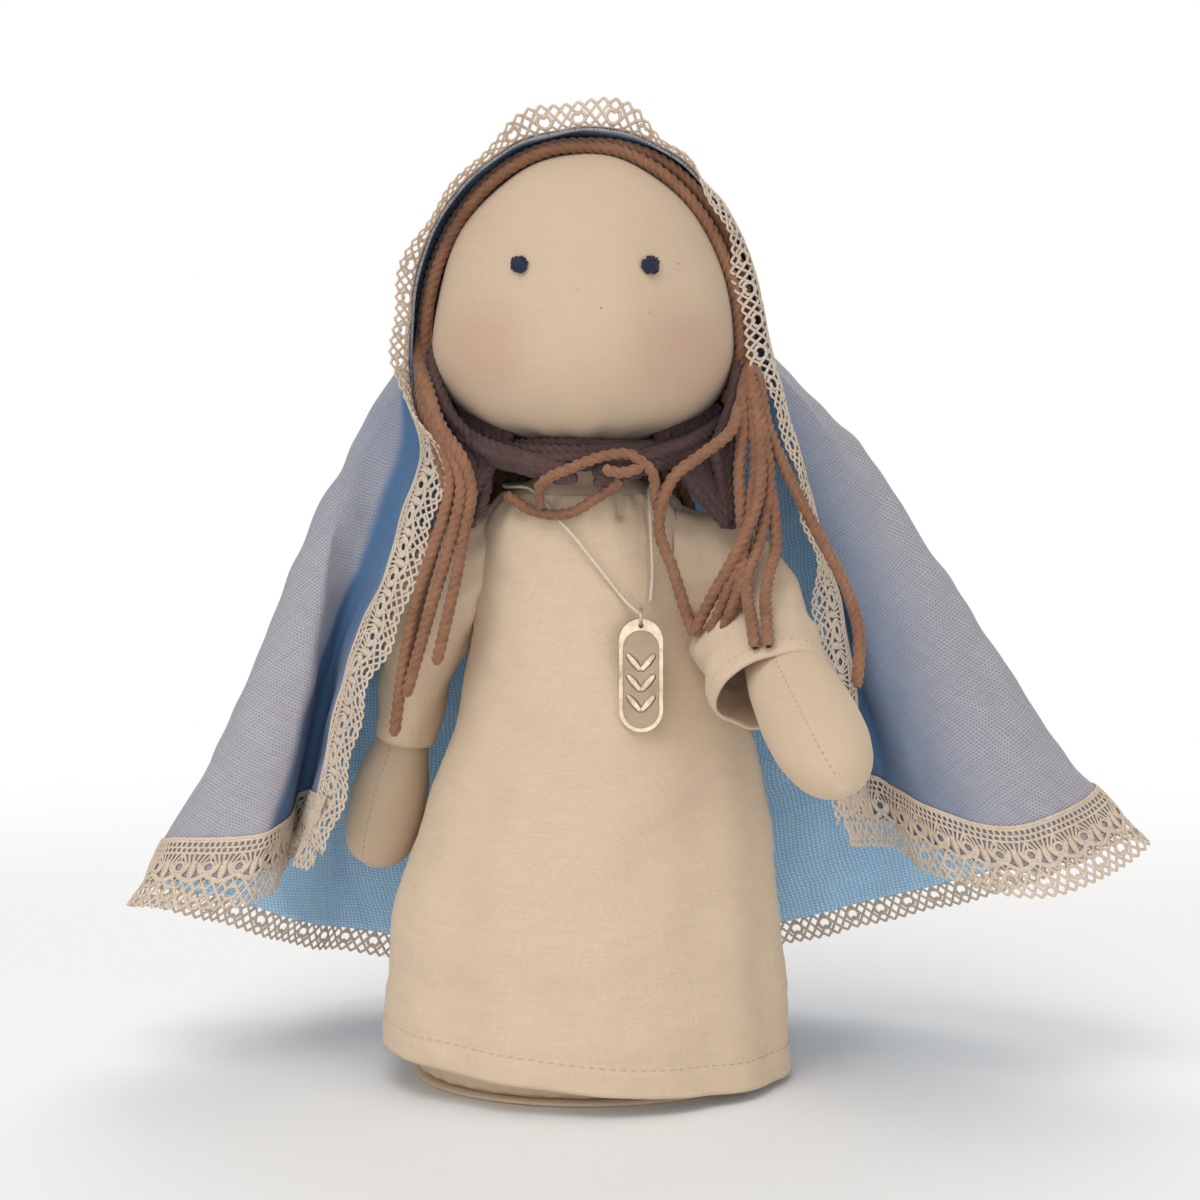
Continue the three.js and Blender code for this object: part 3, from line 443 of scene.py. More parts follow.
class Effects:
    """Shader effects that several finishes share, each built once as a node group."""

    def __init__(self) -> None:
        """Build the groups."""
        self.weave = self._weave()
        self.mottle = self._mottle()
        self.fibres = self._fibres()

    def cloud(self, tree: Tree, place: Socket, size: float) -> Socket:
        """Soft unevenness of about the given size in millimetres, placed in a tree."""
        return tree.group(self.mottle, {"Vector": place, "Size": size}).outputs[0]

    @staticmethod
    def _start(name: str, inputs: Sequence[str], outputs: Sequence[str]) -> tuple[Tree, dict, Node]:
        """New group with a vector, the named numbers and the named outputs."""
        group = bpy.data.node_groups.new(name, "ShaderNodeTree")
        group.interface.new_socket("Vector", in_out="INPUT", socket_type="NodeSocketVector")
        for way, keys in (("INPUT", inputs), ("OUTPUT", outputs)):
            for key in keys:
                group.interface.new_socket(key, in_out=way, socket_type="NodeSocketFloat")
        tree = Tree(group)
        entry = tree.node("NodeGroupInput")
        return tree, {s.name: s for s in entry.outputs}, tree.node("NodeGroupOutput")

    def _weave(self) -> NodeTree:
        """Plain weave: two sets of threads over and under each other, with thick and thin places.

        Height is a share of the two thread ridges' sum plus a share of their waves' product. Slub is the mean of two
        noises, each stretched along one set of threads. Holes lie where the gaps between threads cross.
        """
        tree, value, out = self._start("plain_weave", ["Pitch"], ["Height", "Slub", "Holes"])
        part = tree.node("ShaderNodeSeparateXYZ", {0: value["Vector"]})
        wobble = tree.maths("SUBTRACT", tree.noise(value["Vector"], WANDER_SCALE), 0.5)
        wobble = tree.maths("MULTIPLY", wobble, WANDER)
        count = [tree.maths("DIVIDE", tree.maths("ADD", part.outputs[i], wobble), value["Pitch"]) for i in (0, 1)]
        wave = [tree.maths("SINE", tree.maths("MULTIPLY", c, float(np.pi))) for c in count]
        ridge = [tree.maths("ABSOLUTE", w) for w in wave]
        crossing = tree.maths("MULTIPLY", wave[0], wave[1])
        sum_ridge = tree.maths("ADD", ridge[0], ridge[1])
        tree.plug(tree.maths("MULTIPLY_ADD", sum_ridge, 0.35, tree.maths("MULTIPLY", crossing, 0.3)), out.inputs[0])
        joined = tree.node("ShaderNodeCombineXYZ", {0: count[0], 1: count[1]}).outputs[0]
        streaks = []
        for stretch in ((0.05, 0.8, 0.0), (0.8, 0.05, 0.0)):
            streaks.append(tree.noise(tree.vector("MULTIPLY", joined, stretch).outputs[0], 1.0, 3.0))
        tree.plug(tree.maths("MULTIPLY", tree.maths("ADD", *streaks), 0.5), out.inputs[1])
        tree.plug(tree.span(tree.maths("MAXIMUM", *ridge), *HOLE_EDGE, 1.0, 0.0), out.inputs[2])
        return tree.tree

    def _mottle(self) -> NodeTree:
        """Broad, soft unevenness of colour from two sizes of noise."""
        tree, value, out = self._start("mottle", ["Size"], ["Value"])
        scaled = tree.node("ShaderNodeVectorMath", {0: value["Vector"]}, operation="SCALE")
        tree.plug(tree.maths("DIVIDE", 1.0, value["Size"]), scaled.inputs["Scale"])
        broad = tree.noise(scaled.outputs[0], 1.0, 2.0)
        fine = tree.noise(scaled.outputs[0], 5.0, 3.0)
        tree.plug(tree.maths("MULTIPLY_ADD", fine, 0.35, tree.maths("MULTIPLY", broad, 0.65)), out.inputs[0])
        return tree.tree

    def _fibres(self) -> NodeTree:
        """Fine fibres along a thread: noise stretched along the first coordinate."""
        tree, value, out = self._start("fibres", ["Fineness"], ["Height"])
        stretched = tree.vector("MULTIPLY", value["Vector"], (0.28, 1.0, 1.0)).outputs[0]
        scaled = tree.node("ShaderNodeVectorMath", {0: stretched, "Scale": value["Fineness"]}, operation="SCALE")
        tree.plug(tree.noise(scaled.outputs[0], 1.0, 4.0), out.inputs[0])
        return tree.tree


@dataclass(frozen=True)
class Finish:
    """A surface: its name, two colours that it varies between, how it shines and the size of its clouding."""

    name: str
    colour: Colour
    shade: Colour
    roughness: float = 0.92
    sheen: float = 0.0
    specular: float = 0.25
    cloud_size: float = 45.0

    def start(self) -> tuple[Material, Tree, Node]:
        """New material with its Principled shader."""
        material = bpy.data.materials.new(self.name)
        material.use_nodes = True
        tree = Tree(material.node_tree)
        shader = material.node_tree.nodes["Principled BSDF"]
        shader.inputs["Roughness"].default_value = self.roughness
        shader.inputs["Specular IOR Level"].default_value = self.specular
        shader.inputs["Sheen Weight"].default_value = self.sheen
        shader.inputs["Sheen Roughness"].default_value = 0.45
        material.diffuse_color = (*self.colour, 1.0)
        return material, tree, shader

    @staticmethod
    def place(tree: Tree, from_cloth: bool) -> Socket:
        """Pattern coordinates in millimetres: the piece's own cloth map, or the doll's frame."""
        where = tree.node("ShaderNodeTexCoord")
        if from_cloth:
            return where.outputs["UV"]
        return tree.vector("MULTIPLY", where.outputs["Object"], (1000.0, 1000.0, 1000.0)).outputs[0]


@dataclass(frozen=True)
class ClothFinish(Finish):
    """Plain-woven cloth with thread ridges, slubs and soft unevenness of colour."""

    pitch: float = 0.7
    depth: float = 0.12
    slub: float = 0.6
    from_cloth: bool = True
    # Painted light and shade in the weave's holes: dark on the outer face for the shaded inside seen through the gaps,
    # and bright on the inside for light shining through them.
    hole_light_and_shade: Optional[Colour] = None
    hole_light_and_shade_share: float = 0.9
    # Painted shade: a deeper colour for the folds, laid on by the attribute turned.
    fold_shade_colour: Optional[Colour] = None

    def build(self, effects: Effects) -> Material:
        """Make the material."""
        material, tree, shader = self.start()
        tree.plug(self.tint(tree, shader, effects), shader.inputs["Base Color"])
        return material

    def tint(self, tree: Tree, shader: Node, effects: Effects) -> Socket:
        """Colour of the woven cloth, with its bump set on the shader."""
        place = self.place(tree, self.from_cloth)
        flat = place
        if not self.from_cloth:
            part = tree.node("ShaderNodeSeparateXYZ", {0: place})
            across = tree.maths("MULTIPLY_ADD", part.outputs[1], 0.6, part.outputs[0])
            flat = tree.node("ShaderNodeCombineXYZ", {0: across, 1: part.outputs[2]}).outputs[0]
        weave = tree.group(effects.weave, {"Vector": flat, "Pitch": self.pitch})
        cloud = effects.cloud(tree, place, self.cloud_size)
        slub = tree.span(weave.outputs["Slub"], 0.3, 0.7)
        share = tree.maths("ADD", tree.maths("MULTIPLY", slub, self.slub), tree.maths("MULTIPLY", cloud, 0.5))
        colour = tree.blend(tree.maths("SUBTRACT", share, 0.3), self.colour, self.shade)
        # Painted light and shade: the weave's holes take a colour for what shows through them, painted shade on the
        # outer face and painted light on the inside.
        if self.hole_light_and_shade is not None:
            hole = tree.maths("MULTIPLY", weave.outputs["Holes"], self.hole_light_and_shade_share)
            colour = tree.blend(hole, colour, self.hole_light_and_shade)
        # Painted shade: a deeper blue laid over the folds by the attribute turned.
        if self.fold_shade_colour is not None:
            turned = tree.node("ShaderNodeAttribute", attribute_name="turned").outputs["Fac"]
            colour = tree.blend(turned, colour, self.fold_shade_colour)
        height = tree.maths("MULTIPLY_ADD", slub, 0.35, weave.outputs["Height"])
        tree.tilt(shader, height, 0.7, self.depth)
        return colour


@dataclass(frozen=True)
class FaceFinish(ClothFinish):
    """The face's cotton: woven cloth with rouged cheeks and a few flecks of seed in the thread."""

    rouge: Colour = (0.5, 0.3, 0.2)
    fleck: Colour = (0.2, 0.12, 0.07)
    rouge_cloud: float = 14.0
    rouge_reach: tuple = (21.0, 2.0)
    rouge_share: float = 0.62
    fleck_share: float = 0.7
    front: tuple = (-8.0, -22.0)
    cheeks: tuple = ((-31.0, 230.0), (29.0, 228.5))
    flecks: tuple = ((5.0, 241.3, 0.5), (-1.8, 246.6, 0.32), (27.9, 254.4, 0.4), (19.2, 240.0, 0.3))

    def build(self, effects: Effects) -> Material:
        """Make the material."""
        material, tree, shader = self.start()
        colour = self.tint(tree, shader, effects)
        place = self.place(tree, False)
        cloud = effects.cloud(tree, place, self.rouge_cloud)
        front = tree.span(tree.node("ShaderNodeSeparateXYZ", {0: place}).outputs[1], *self.front)
        flat = tree.vector("MULTIPLY", place, (1.0, 0.0, 1.0)).outputs[0]
        for x, z in self.cheeks:
            away = tree.vector("DISTANCE", flat, (x, 0.0, z)).outputs["Value"]
            soft = tree.maths("MULTIPLY", front, self.rouge_share)
            soft = tree.maths("MULTIPLY", tree.span(away, *self.rouge_reach), soft)
            share = tree.maths("MULTIPLY", soft, tree.span(cloud, 0.25, 0.62, 0.65, 1.0))
            colour = tree.blend(share, colour, self.rouge)
        for x, z, size in self.flecks:
            away = tree.vector("DISTANCE", flat, (x, 0.0, z)).outputs["Value"]
            mark = tree.maths("MULTIPLY", tree.span(away, size, size * 0.4), front)
            colour = tree.blend(tree.maths("MULTIPLY", mark, self.fleck_share), colour, self.fleck)
        tree.plug(colour, shader.inputs["Base Color"])
        return material


@dataclass(frozen=True)
class ThreadFinish(Finish):
    """Spun yarn, lace thread or cord: fine fibres along the thread and a soft bloom."""

    cloud_size: float = 18.0
    fineness: float = 2.2
    depth: float = 0.25
    along_thread: bool = True

    def build(self, effects: Effects) -> Material:
        """Make the material."""
        material, tree, shader = self.start()
        place = self.place(tree, self.along_thread)
        fibres = tree.group(effects.fibres, {"Vector": place, "Fineness": self.fineness})
        cloud = effects.cloud(tree, self.place(tree, False), self.cloud_size)
        share = tree.maths("MULTIPLY_ADD", fibres.outputs[0], 0.6, tree.maths("MULTIPLY", cloud, 0.5))
        colour = tree.blend(tree.span(share, 0.35, 0.75), self.colour, self.shade)
        tree.tilt(shader, fibres.outputs[0], 0.8, self.depth)
        tree.plug(colour, shader.inputs["Base Color"])
        return material


@dataclass(frozen=True)
class MetalFinish(Finish):
    """Aged silver-tone casting: bright on its high places, darkened in its sunk field, finely pitted."""

    cloud_size: float = 5.0
    facing: tuple = (0.0, -1.0, 0.0)
    middle: float = 0.0
    sunk: Colour = (0.05, 0.045, 0.04)

    def build(self, effects: Effects) -> Material:
        """Make the material: the further a place is from the plate's middle plane, the brighter it is."""
        material, tree, shader = self.start()
        place = self.place(tree, False)
        cloud = effects.cloud(tree, place, self.cloud_size)
        pits = tree.noise(place, 2.6, 4.0)
        shader.inputs["Metallic"].default_value = 1.0
        depth = tree.vector("DOT_PRODUCT", place, self.facing).outputs["Value"]
        raised = tree.span(tree.maths("ABSOLUTE", tree.maths("SUBTRACT", depth, self.middle)), 0.22, 0.7)
        worn = tree.blend(tree.span(cloud, 0.35, 0.75), self.colour, self.shade)
        share = tree.maths("MULTIPLY_ADD", cloud, 0.25, tree.maths("MULTIPLY", raised, 0.9))
        tree.plug(tree.blend(share, self.sunk, worn), shader.inputs["Base Color"])
        tree.plug(tree.span(cloud, 0.2, 0.8, self.roughness - 0.05, self.roughness + 0.12), shader.inputs["Roughness"])
        tree.tilt(shader, pits, 0.4, 0.12)
        return material


@dataclass(frozen=True)
class GrainFinish(Finish):
    """Hidden stuff, such as pellets and card: mottled, with a grain of its clouding's size."""

    cloud_size: float = 3.0

    def build(self, effects: Effects) -> Material:
        """Make the material."""
        material, tree, shader = self.start()
        cloud = effects.cloud(tree, self.place(tree, False), self.cloud_size)
        tree.plug(tree.blend(tree.span(cloud, 0.3, 0.7), self.colour, self.shade), shader.inputs["Base Color"])
        tree.tilt(shader, cloud, 0.6, 0.8)
        return material


def plate_plane() -> tuple[tuple, float]:
    """Direction that the pendant's plate faces, and how far along it the plate's middle plane lies, in millimetres.

    The direction is the mean normal of the faces that look forward most, weighted by their areas.
    """
    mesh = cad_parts["pendant_plate"].data
    normal, area, place = (np.zeros(n) for n in (len(mesh.polygons) * 3, len(mesh.polygons), len(mesh.vertices) * 3))
    mesh.polygons.foreach_get("normal", normal)
    mesh.polygons.foreach_get("area", area)
    mesh.vertices.foreach_get("co", place)
    normal = normal.reshape(-1, 3)
    back = normal[:, 1] > 0.9
    facing = -unit((normal[back] * area[back, None]).sum(0))
    far = place.reshape(-1, 3) @ facing / MM
    return tuple(float(v) for v in facing), float((far.min() + far.max()) / 2)


class Wardrobe:
    """All finishes of the doll as materials."""

    def __init__(self) -> None:
        """Build every material once."""
        fx = Effects()
        skin = dict(colour=linear(209, 186, 160), shade=linear(196, 171, 144), pitch=0.45, depth=0.05, slub=0.35,
                    sheen=0.1, from_cloth=False)
        self.skin = ClothFinish("skin_cotton", **skin).build(fx)
        self.face = FaceFinish("face_cotton", rouge=linear(194, 154, 134), fleck=linear(120, 96, 74), **skin).build(fx)
        self.gown = ClothFinish("gown_linen", linear(216, 194, 168), linear(203, 179, 152), sheen=0.1, pitch=0.6,
                                depth=0.1, slub=0.6).build(fx)
        # The mantle's outer face carries painted shade: a deeper blue over its folds, and darker holes in its weave
        # where its shaded inside shows through.
        self.mantle = ClothFinish("mantle_linen", linear(181, 177, 182), linear(158, 154, 161), sheen=0.12, pitch=1.0,
                                  depth=0.14, slub=0.6, hole_light_and_shade=linear(114, 123, 145),
                                  fold_shade_colour=linear(80, 113, 150)).build(fx)
        # The mantle's inside is the same blue linen: its colour is made paler and brighter as painted light for light
        # passing through the thin cloth, and its weave's holes are painted near white as light shining through.
        self.painted_backlit_inside = ClothFinish("mantle_inside", linear(168, 216, 250), linear(138, 198, 246), pitch=1.04,
                                  depth=0.25, slub=0.7, hole_light_and_shade=linear(246, 252, 255)).build(fx)
        self.lace = ThreadFinish("lace_cotton", linear(225, 208, 189), linear(202, 183, 163), sheen=0.1,
                                 along_thread=False, fineness=1.6, depth=0.1).build(fx)
        self.hair = ThreadFinish("hair_yarn", linear(168, 121, 92), linear(116, 82, 64), sheen=0.2).build(fx)
        # A darker copy of the hair yarn: painted shade for the strands wound under the chin and round the throat.
        self.shaded_hair = ThreadFinish("hair_yarn_painted_shade", linear(102, 79, 76), linear(70, 55, 56), sheen=0.1).build(fx)
        self.eyes = ThreadFinish("eye_thread", linear(60, 62, 84), linear(30, 30, 46), sheen=0.1,
                                 fineness=4.0, depth=0.1).build(fx)
        self.cord = ThreadFinish("white_cord", linear(232, 220, 202), linear(208, 192, 168), roughness=0.7,
                                 fineness=4.0, depth=0.06).build(fx)
        self.stitch = ThreadFinish("seam_thread", linear(206, 180, 148), linear(178, 150, 118), fineness=4.0,
                                   depth=0.05).build(fx)
        self.gown_stitch = ThreadFinish("gown_thread", linear(206, 182, 154), linear(190, 164, 136), fineness=4.0,
                                        depth=0.05).build(fx)
        facing, middle = plate_plane()
        self.metal = MetalFinish("pendant_metal", linear(204, 188, 166), linear(164, 146, 124), 0.38, specular=0.5,
                                 facing=facing, middle=middle, sunk=linear(140, 121, 102)).build(fx)
        self.ring = MetalFinish("ring_metal", linear(200, 186, 166), linear(154, 138, 118), 0.38, specular=0.5,
                                sunk=linear(120, 112, 100)).build(fx)
        self.pellets = GrainFinish("weight_pellets", linear(206, 200, 186), linear(176, 168, 150), 0.8).build(fx)
        self.card = GrainFinish("base_card", linear(180, 154, 116), linear(160, 134, 98), 0.95,
                                cloud_size=9.0).build(fx)


# The doll's outline, as in the part's solids


@dataclass(frozen=True)
class Form:
    """Sizes and outlines that the doll's pieces share."""

    base_half: tuple = (54.0, 40.0)
    shoulder_half: tuple = (30.5, 23.0)
    shoulder: float = 167.0
    shoulder_rise: float = 21.0
    neck_radius: float = 16.4
    neck_top: float = 203.2
    bow: float = 5.0
    bow_middle: float = 108.0
    bow_reach: float = 59.0
    cheeks: float = 231.0
    head_radius: float = 47.0
    chin_depth: float = 31.0
    brow_rise: float = 58.0
    chin_fullness: float = 2.3
    hem: float = 7.5
    hem_tilt: float = 0.085
    hem_ease: float = 10.5
    shoulder_ease: float = 3.5
    neckline_ease: float = 1.55
    neckline: float = 185.0

    def body_half(self, z: Array, axis: int) -> Array:
        """Half width (0) or half depth (1) of the stuffed body at a height."""
        base, top = self.base_half[axis], self.shoulder_half[axis]
        low = mixed(base, top, smooth((np.clip(z, 0, self.shoulder) / self.shoulder) ** 1.5))
        over = np.clip((z - self.shoulder) / self.shoulder_rise, 0, 1)
        high = self.neck_radius + (top - self.neck_radius) * np.sqrt(1 - over**2)
        return np.where(z <= self.shoulder, low, high)

    def lean(self, z: Array) -> Array:
        """Sideways bow of the body's middle at a height."""
        return self.bow * np.cos(np.clip((z - self.bow_middle) / self.bow_reach, -1, 1) * np.pi / 2) ** 2

    def gown_half(self, z: Array, axis: int) -> Array:
        """Half width or half depth of the gown: the body's plus an ease that shrinks upward."""
        lower = np.clip((z - self.hem) / (self.shoulder - self.hem), 0, 1)
        upper = np.clip((z - self.shoulder) / (self.neckline - self.shoulder), 0, 1)
        low = mixed(self.hem_ease, self.shoulder_ease, lower)
        high = mixed(self.shoulder_ease, self.neckline_ease, upper)
        return self.body_half(z, axis) + np.where(z <= self.shoulder, low, high)

    def gown_front(self, x: Array, z: Array) -> Array:
        """The y of the gown's front at a place seen from the front."""
        part = np.clip(np.abs(x - self.lean(z)) / self.gown_half(z, 0), 0, 0.98)
        return -self.gown_half(z, 1) * np.sqrt(1 - part**2)

    def head_at(self, z: Array, grow: Array = 0.0) -> Array:
        """Radius of the head at a height, an ellipse above the cheeks and a squarer curve below."""
        off = np.asarray(z, float) - self.cheeks
        reach = np.where(off < 0, self.chin_depth, self.brow_rise) + grow
        power = np.where(off < 0, self.chin_fullness, 2.0)
        part = np.clip(np.abs(off) / reach, 0, 1)
        return (self.head_radius + grow) * (1 - part**power) ** (1 / power)

    def on_head(self, way: Array, grow: Array) -> Array:
        """Point on the head, or a layer over it, in the direction of a unit vector."""
        reach = np.where(way[..., 2] < 0, self.chin_depth, self.brow_rise) + grow
        z = self.cheeks + reach * way[..., 2]
        flat = unit(way[..., :2]) * self.head_at(z, grow)[..., None]
        return np.concatenate([flat, z[..., None]], axis=-1)


FORM = Form()


def ring_points(middle: Array, half: tuple[Array, Array], z: Array, angle: Array) -> Array:
    """Ellipses about upright middles: rows go down the list of heights, columns round to the left."""
    x = middle[:, None] - half[0][:, None] * np.sin(angle)
    y = -half[1][:, None] * np.cos(angle)
    return np.stack([x, y, np.broadcast_to(z[:, None], x.shape)], axis=-1)


def around(radius: Array, turn: Array, z: Array) -> Array:
    """Points about the upright axis, turned from the front towards the viewer's right."""
    return np.stack([radius * np.sin(turn), -radius * np.cos(turn), z], -1)


def cloth_map(points: Array) -> Array:
    """Pattern coordinates measured on the cloth: across from its middle column, and down from its first row."""
    across = run_length(points, 1)
    return np.stack([across - across[:, -1:] / 2, run_length(points)], axis=-1)


# Stuffed pieces


@dataclass
class Head:
    """The stuffed ball of the head and its two embroidered eyes."""

    rows: int = 110
    columns: int = 180
    lump_height: float = 0.28
    lump_size: float = 34.0
    pleat_height: float = 0.34
    eye_places: tuple = ((-19.0, 254.0), (19.6, 253.8))
    eye_radius: float = 2.55
    # Layers of the eye's stitches: their direction in radians and their number.
    eye_layers: tuple = ((1.35, 6), (0.55, 5), (2.2, 3))
    thread: float = 0.55
    thread_pace: float = 1.45

    def build(self, looks: Wardrobe) -> None:
        """Make the head and its eyes."""
        turn = np.linspace(0, np.pi, self.rows)
        z = FORM.cheeks + np.cos(turn) * np.where(np.cos(turn) < 0, FORM.chin_depth, FORM.brow_rise)
        angle = np.linspace(0, TAU, self.columns + 1)
        radius = FORM.head_at(z)
        points = ring_points(np.zeros_like(z), (radius, radius), z, angle)
        points += self.unevenness(points)[..., None] * unit(points - np.array([0, 0, FORM.cheeks]))
        points[:, -1] = points[:, 0]
        head = grid_piece("head", points)
        declare(head, "skin_cotton", looks.face, body="head", stands_for=("head_skin", "head_filling"))
        for side, place in zip(Side, self.eye_places):
            self.eye(side, place, looks)

    def unevenness(self, points: Array) -> Array:
        """Stuffing lumps all over and gathers that tighten towards the neck."""
        x, y, z = np.moveaxis(points, -1, 0)
        angle = np.arctan2(x, -y)
        gather = smooth((FORM.cheeks - 14 - z) / 16)
        pleats = np.cos(13 * angle + 0.7 * np.sin(3 * angle)) + 0.6 * np.cos(7 * angle + 1.3)
        return self.lump_height * Ripple(3, self.lump_size)(x, y, z) + gather * self.pleat_height * pleats

    def eye(self, side: Side, place: tuple, looks: Wardrobe) -> None:
        """An eye of padded stitches: crossing layers of short threads that hug the face.

        Args:
            side: which eye.
            place: x and z of its middle.
            looks: the finishes.
        """
        rng = np.random.default_rng(40 + side.value)
        paths = []
        for layer, (tilt, count) in enumerate(self.eye_layers):
            offset = (np.arange(count) - (count - 1) / 2) * self.thread * self.thread_pace
            half = np.sqrt(np.clip(self.eye_radius**2 - offset**2, 0.5, None)) * rng.uniform(0.8, 1.2, count)
            along = np.linspace(-1, 1, 15)[None] * half[:, None]
            sway = tilt + rng.uniform(-0.12, 0.12, count)[:, None]
            x = place[0] + along * np.cos(sway) - offset[:, None] * np.sin(sway)
            z = place[1] + along * np.sin(sway) + offset[:, None] * np.cos(sway)
            lift = 0.1 + 0.42 * layer + 0.75 * (1 - (along / half[:, None]) ** 2)
            y = -np.sqrt(FORM.head_at(z) ** 2 - x**2) - lift
            paths.append(np.stack([x, y, z], axis=-1))
        paths = np.concatenate(paths)
        threads = tube_grid(paths, even_radius(paths, self.thread), sides=9, lobes=2, pitch=2.5)
        eye = tube_piece(f"{side.label}_eye_stitches", [threads])
        declare(eye, "eye_thread", looks.eyes, body="head", stands_for=(f"{side.label}_eye",))


@dataclass
class Body:
    """The stuffed body under the gown and the flat cloth under it."""

    columns: int = 120

    def build(self, looks: Wardrobe) -> None:
        """Make the body bottle and the bottom panel."""
        angle = np.linspace(0, TAU, self.columns + 1)
        z = np.concatenate([[FORM.neck_top], np.linspace(FORM.neck_top, 170, 24), np.linspace(166, 10, 50),
                            [6.5, 4.2, 2.9, 2.4, 2.4]])
        inset = np.concatenate([[CLOSED], np.zeros(74), [0.2, 0.9, 2.2, 5.0, CLOSED]])
        half = tuple(np.maximum(FORM.body_half(z, axis) - inset, 0) for axis in (0, 1))
        points = ring_points(FORM.lean(z), half, z, angle)
        gather = smooth((16 - points[..., 2]) / 14) * 0.5 * np.cos(34 * angle)
        points[..., :2] *= (1 + gather / 50)[..., None]
        points[:, -1] = points[:, 0]
        body = grid_piece("body", points)
        declare(body, "skin_cotton", looks.skin, body="torso", stands_for=("body_skin", "body_filling"))
        self.bottom(angle, looks)

    @staticmethod
    def bottom(angle: Array, looks: Wardrobe) -> None:
        """The bottom cloth: a flat oval with a rounded, gathered edge."""
        share = np.array([0, 0.5, 0.8, 0.93, 0.985, 1.0, 0.99, 0.96, 0.8, 0.4, 0])
        z = np.array([2.0, 2.0, 2.0, 1.98, 1.75, 1.1, 0.5, 0.15, 0.02, 0.0, 0.0])
        half = tuple(share * (FORM.base_half[axis] - 0.3) for axis in (0, 1))
        points = ring_points(np.zeros_like(z), half, z, angle)
        points[:, -1] = points[:, 0]
        panel = grid_piece("body_bottom", points)
        declare(panel, "skin_cotton", looks.skin, body="torso", stands_for=("bottom_panel",))


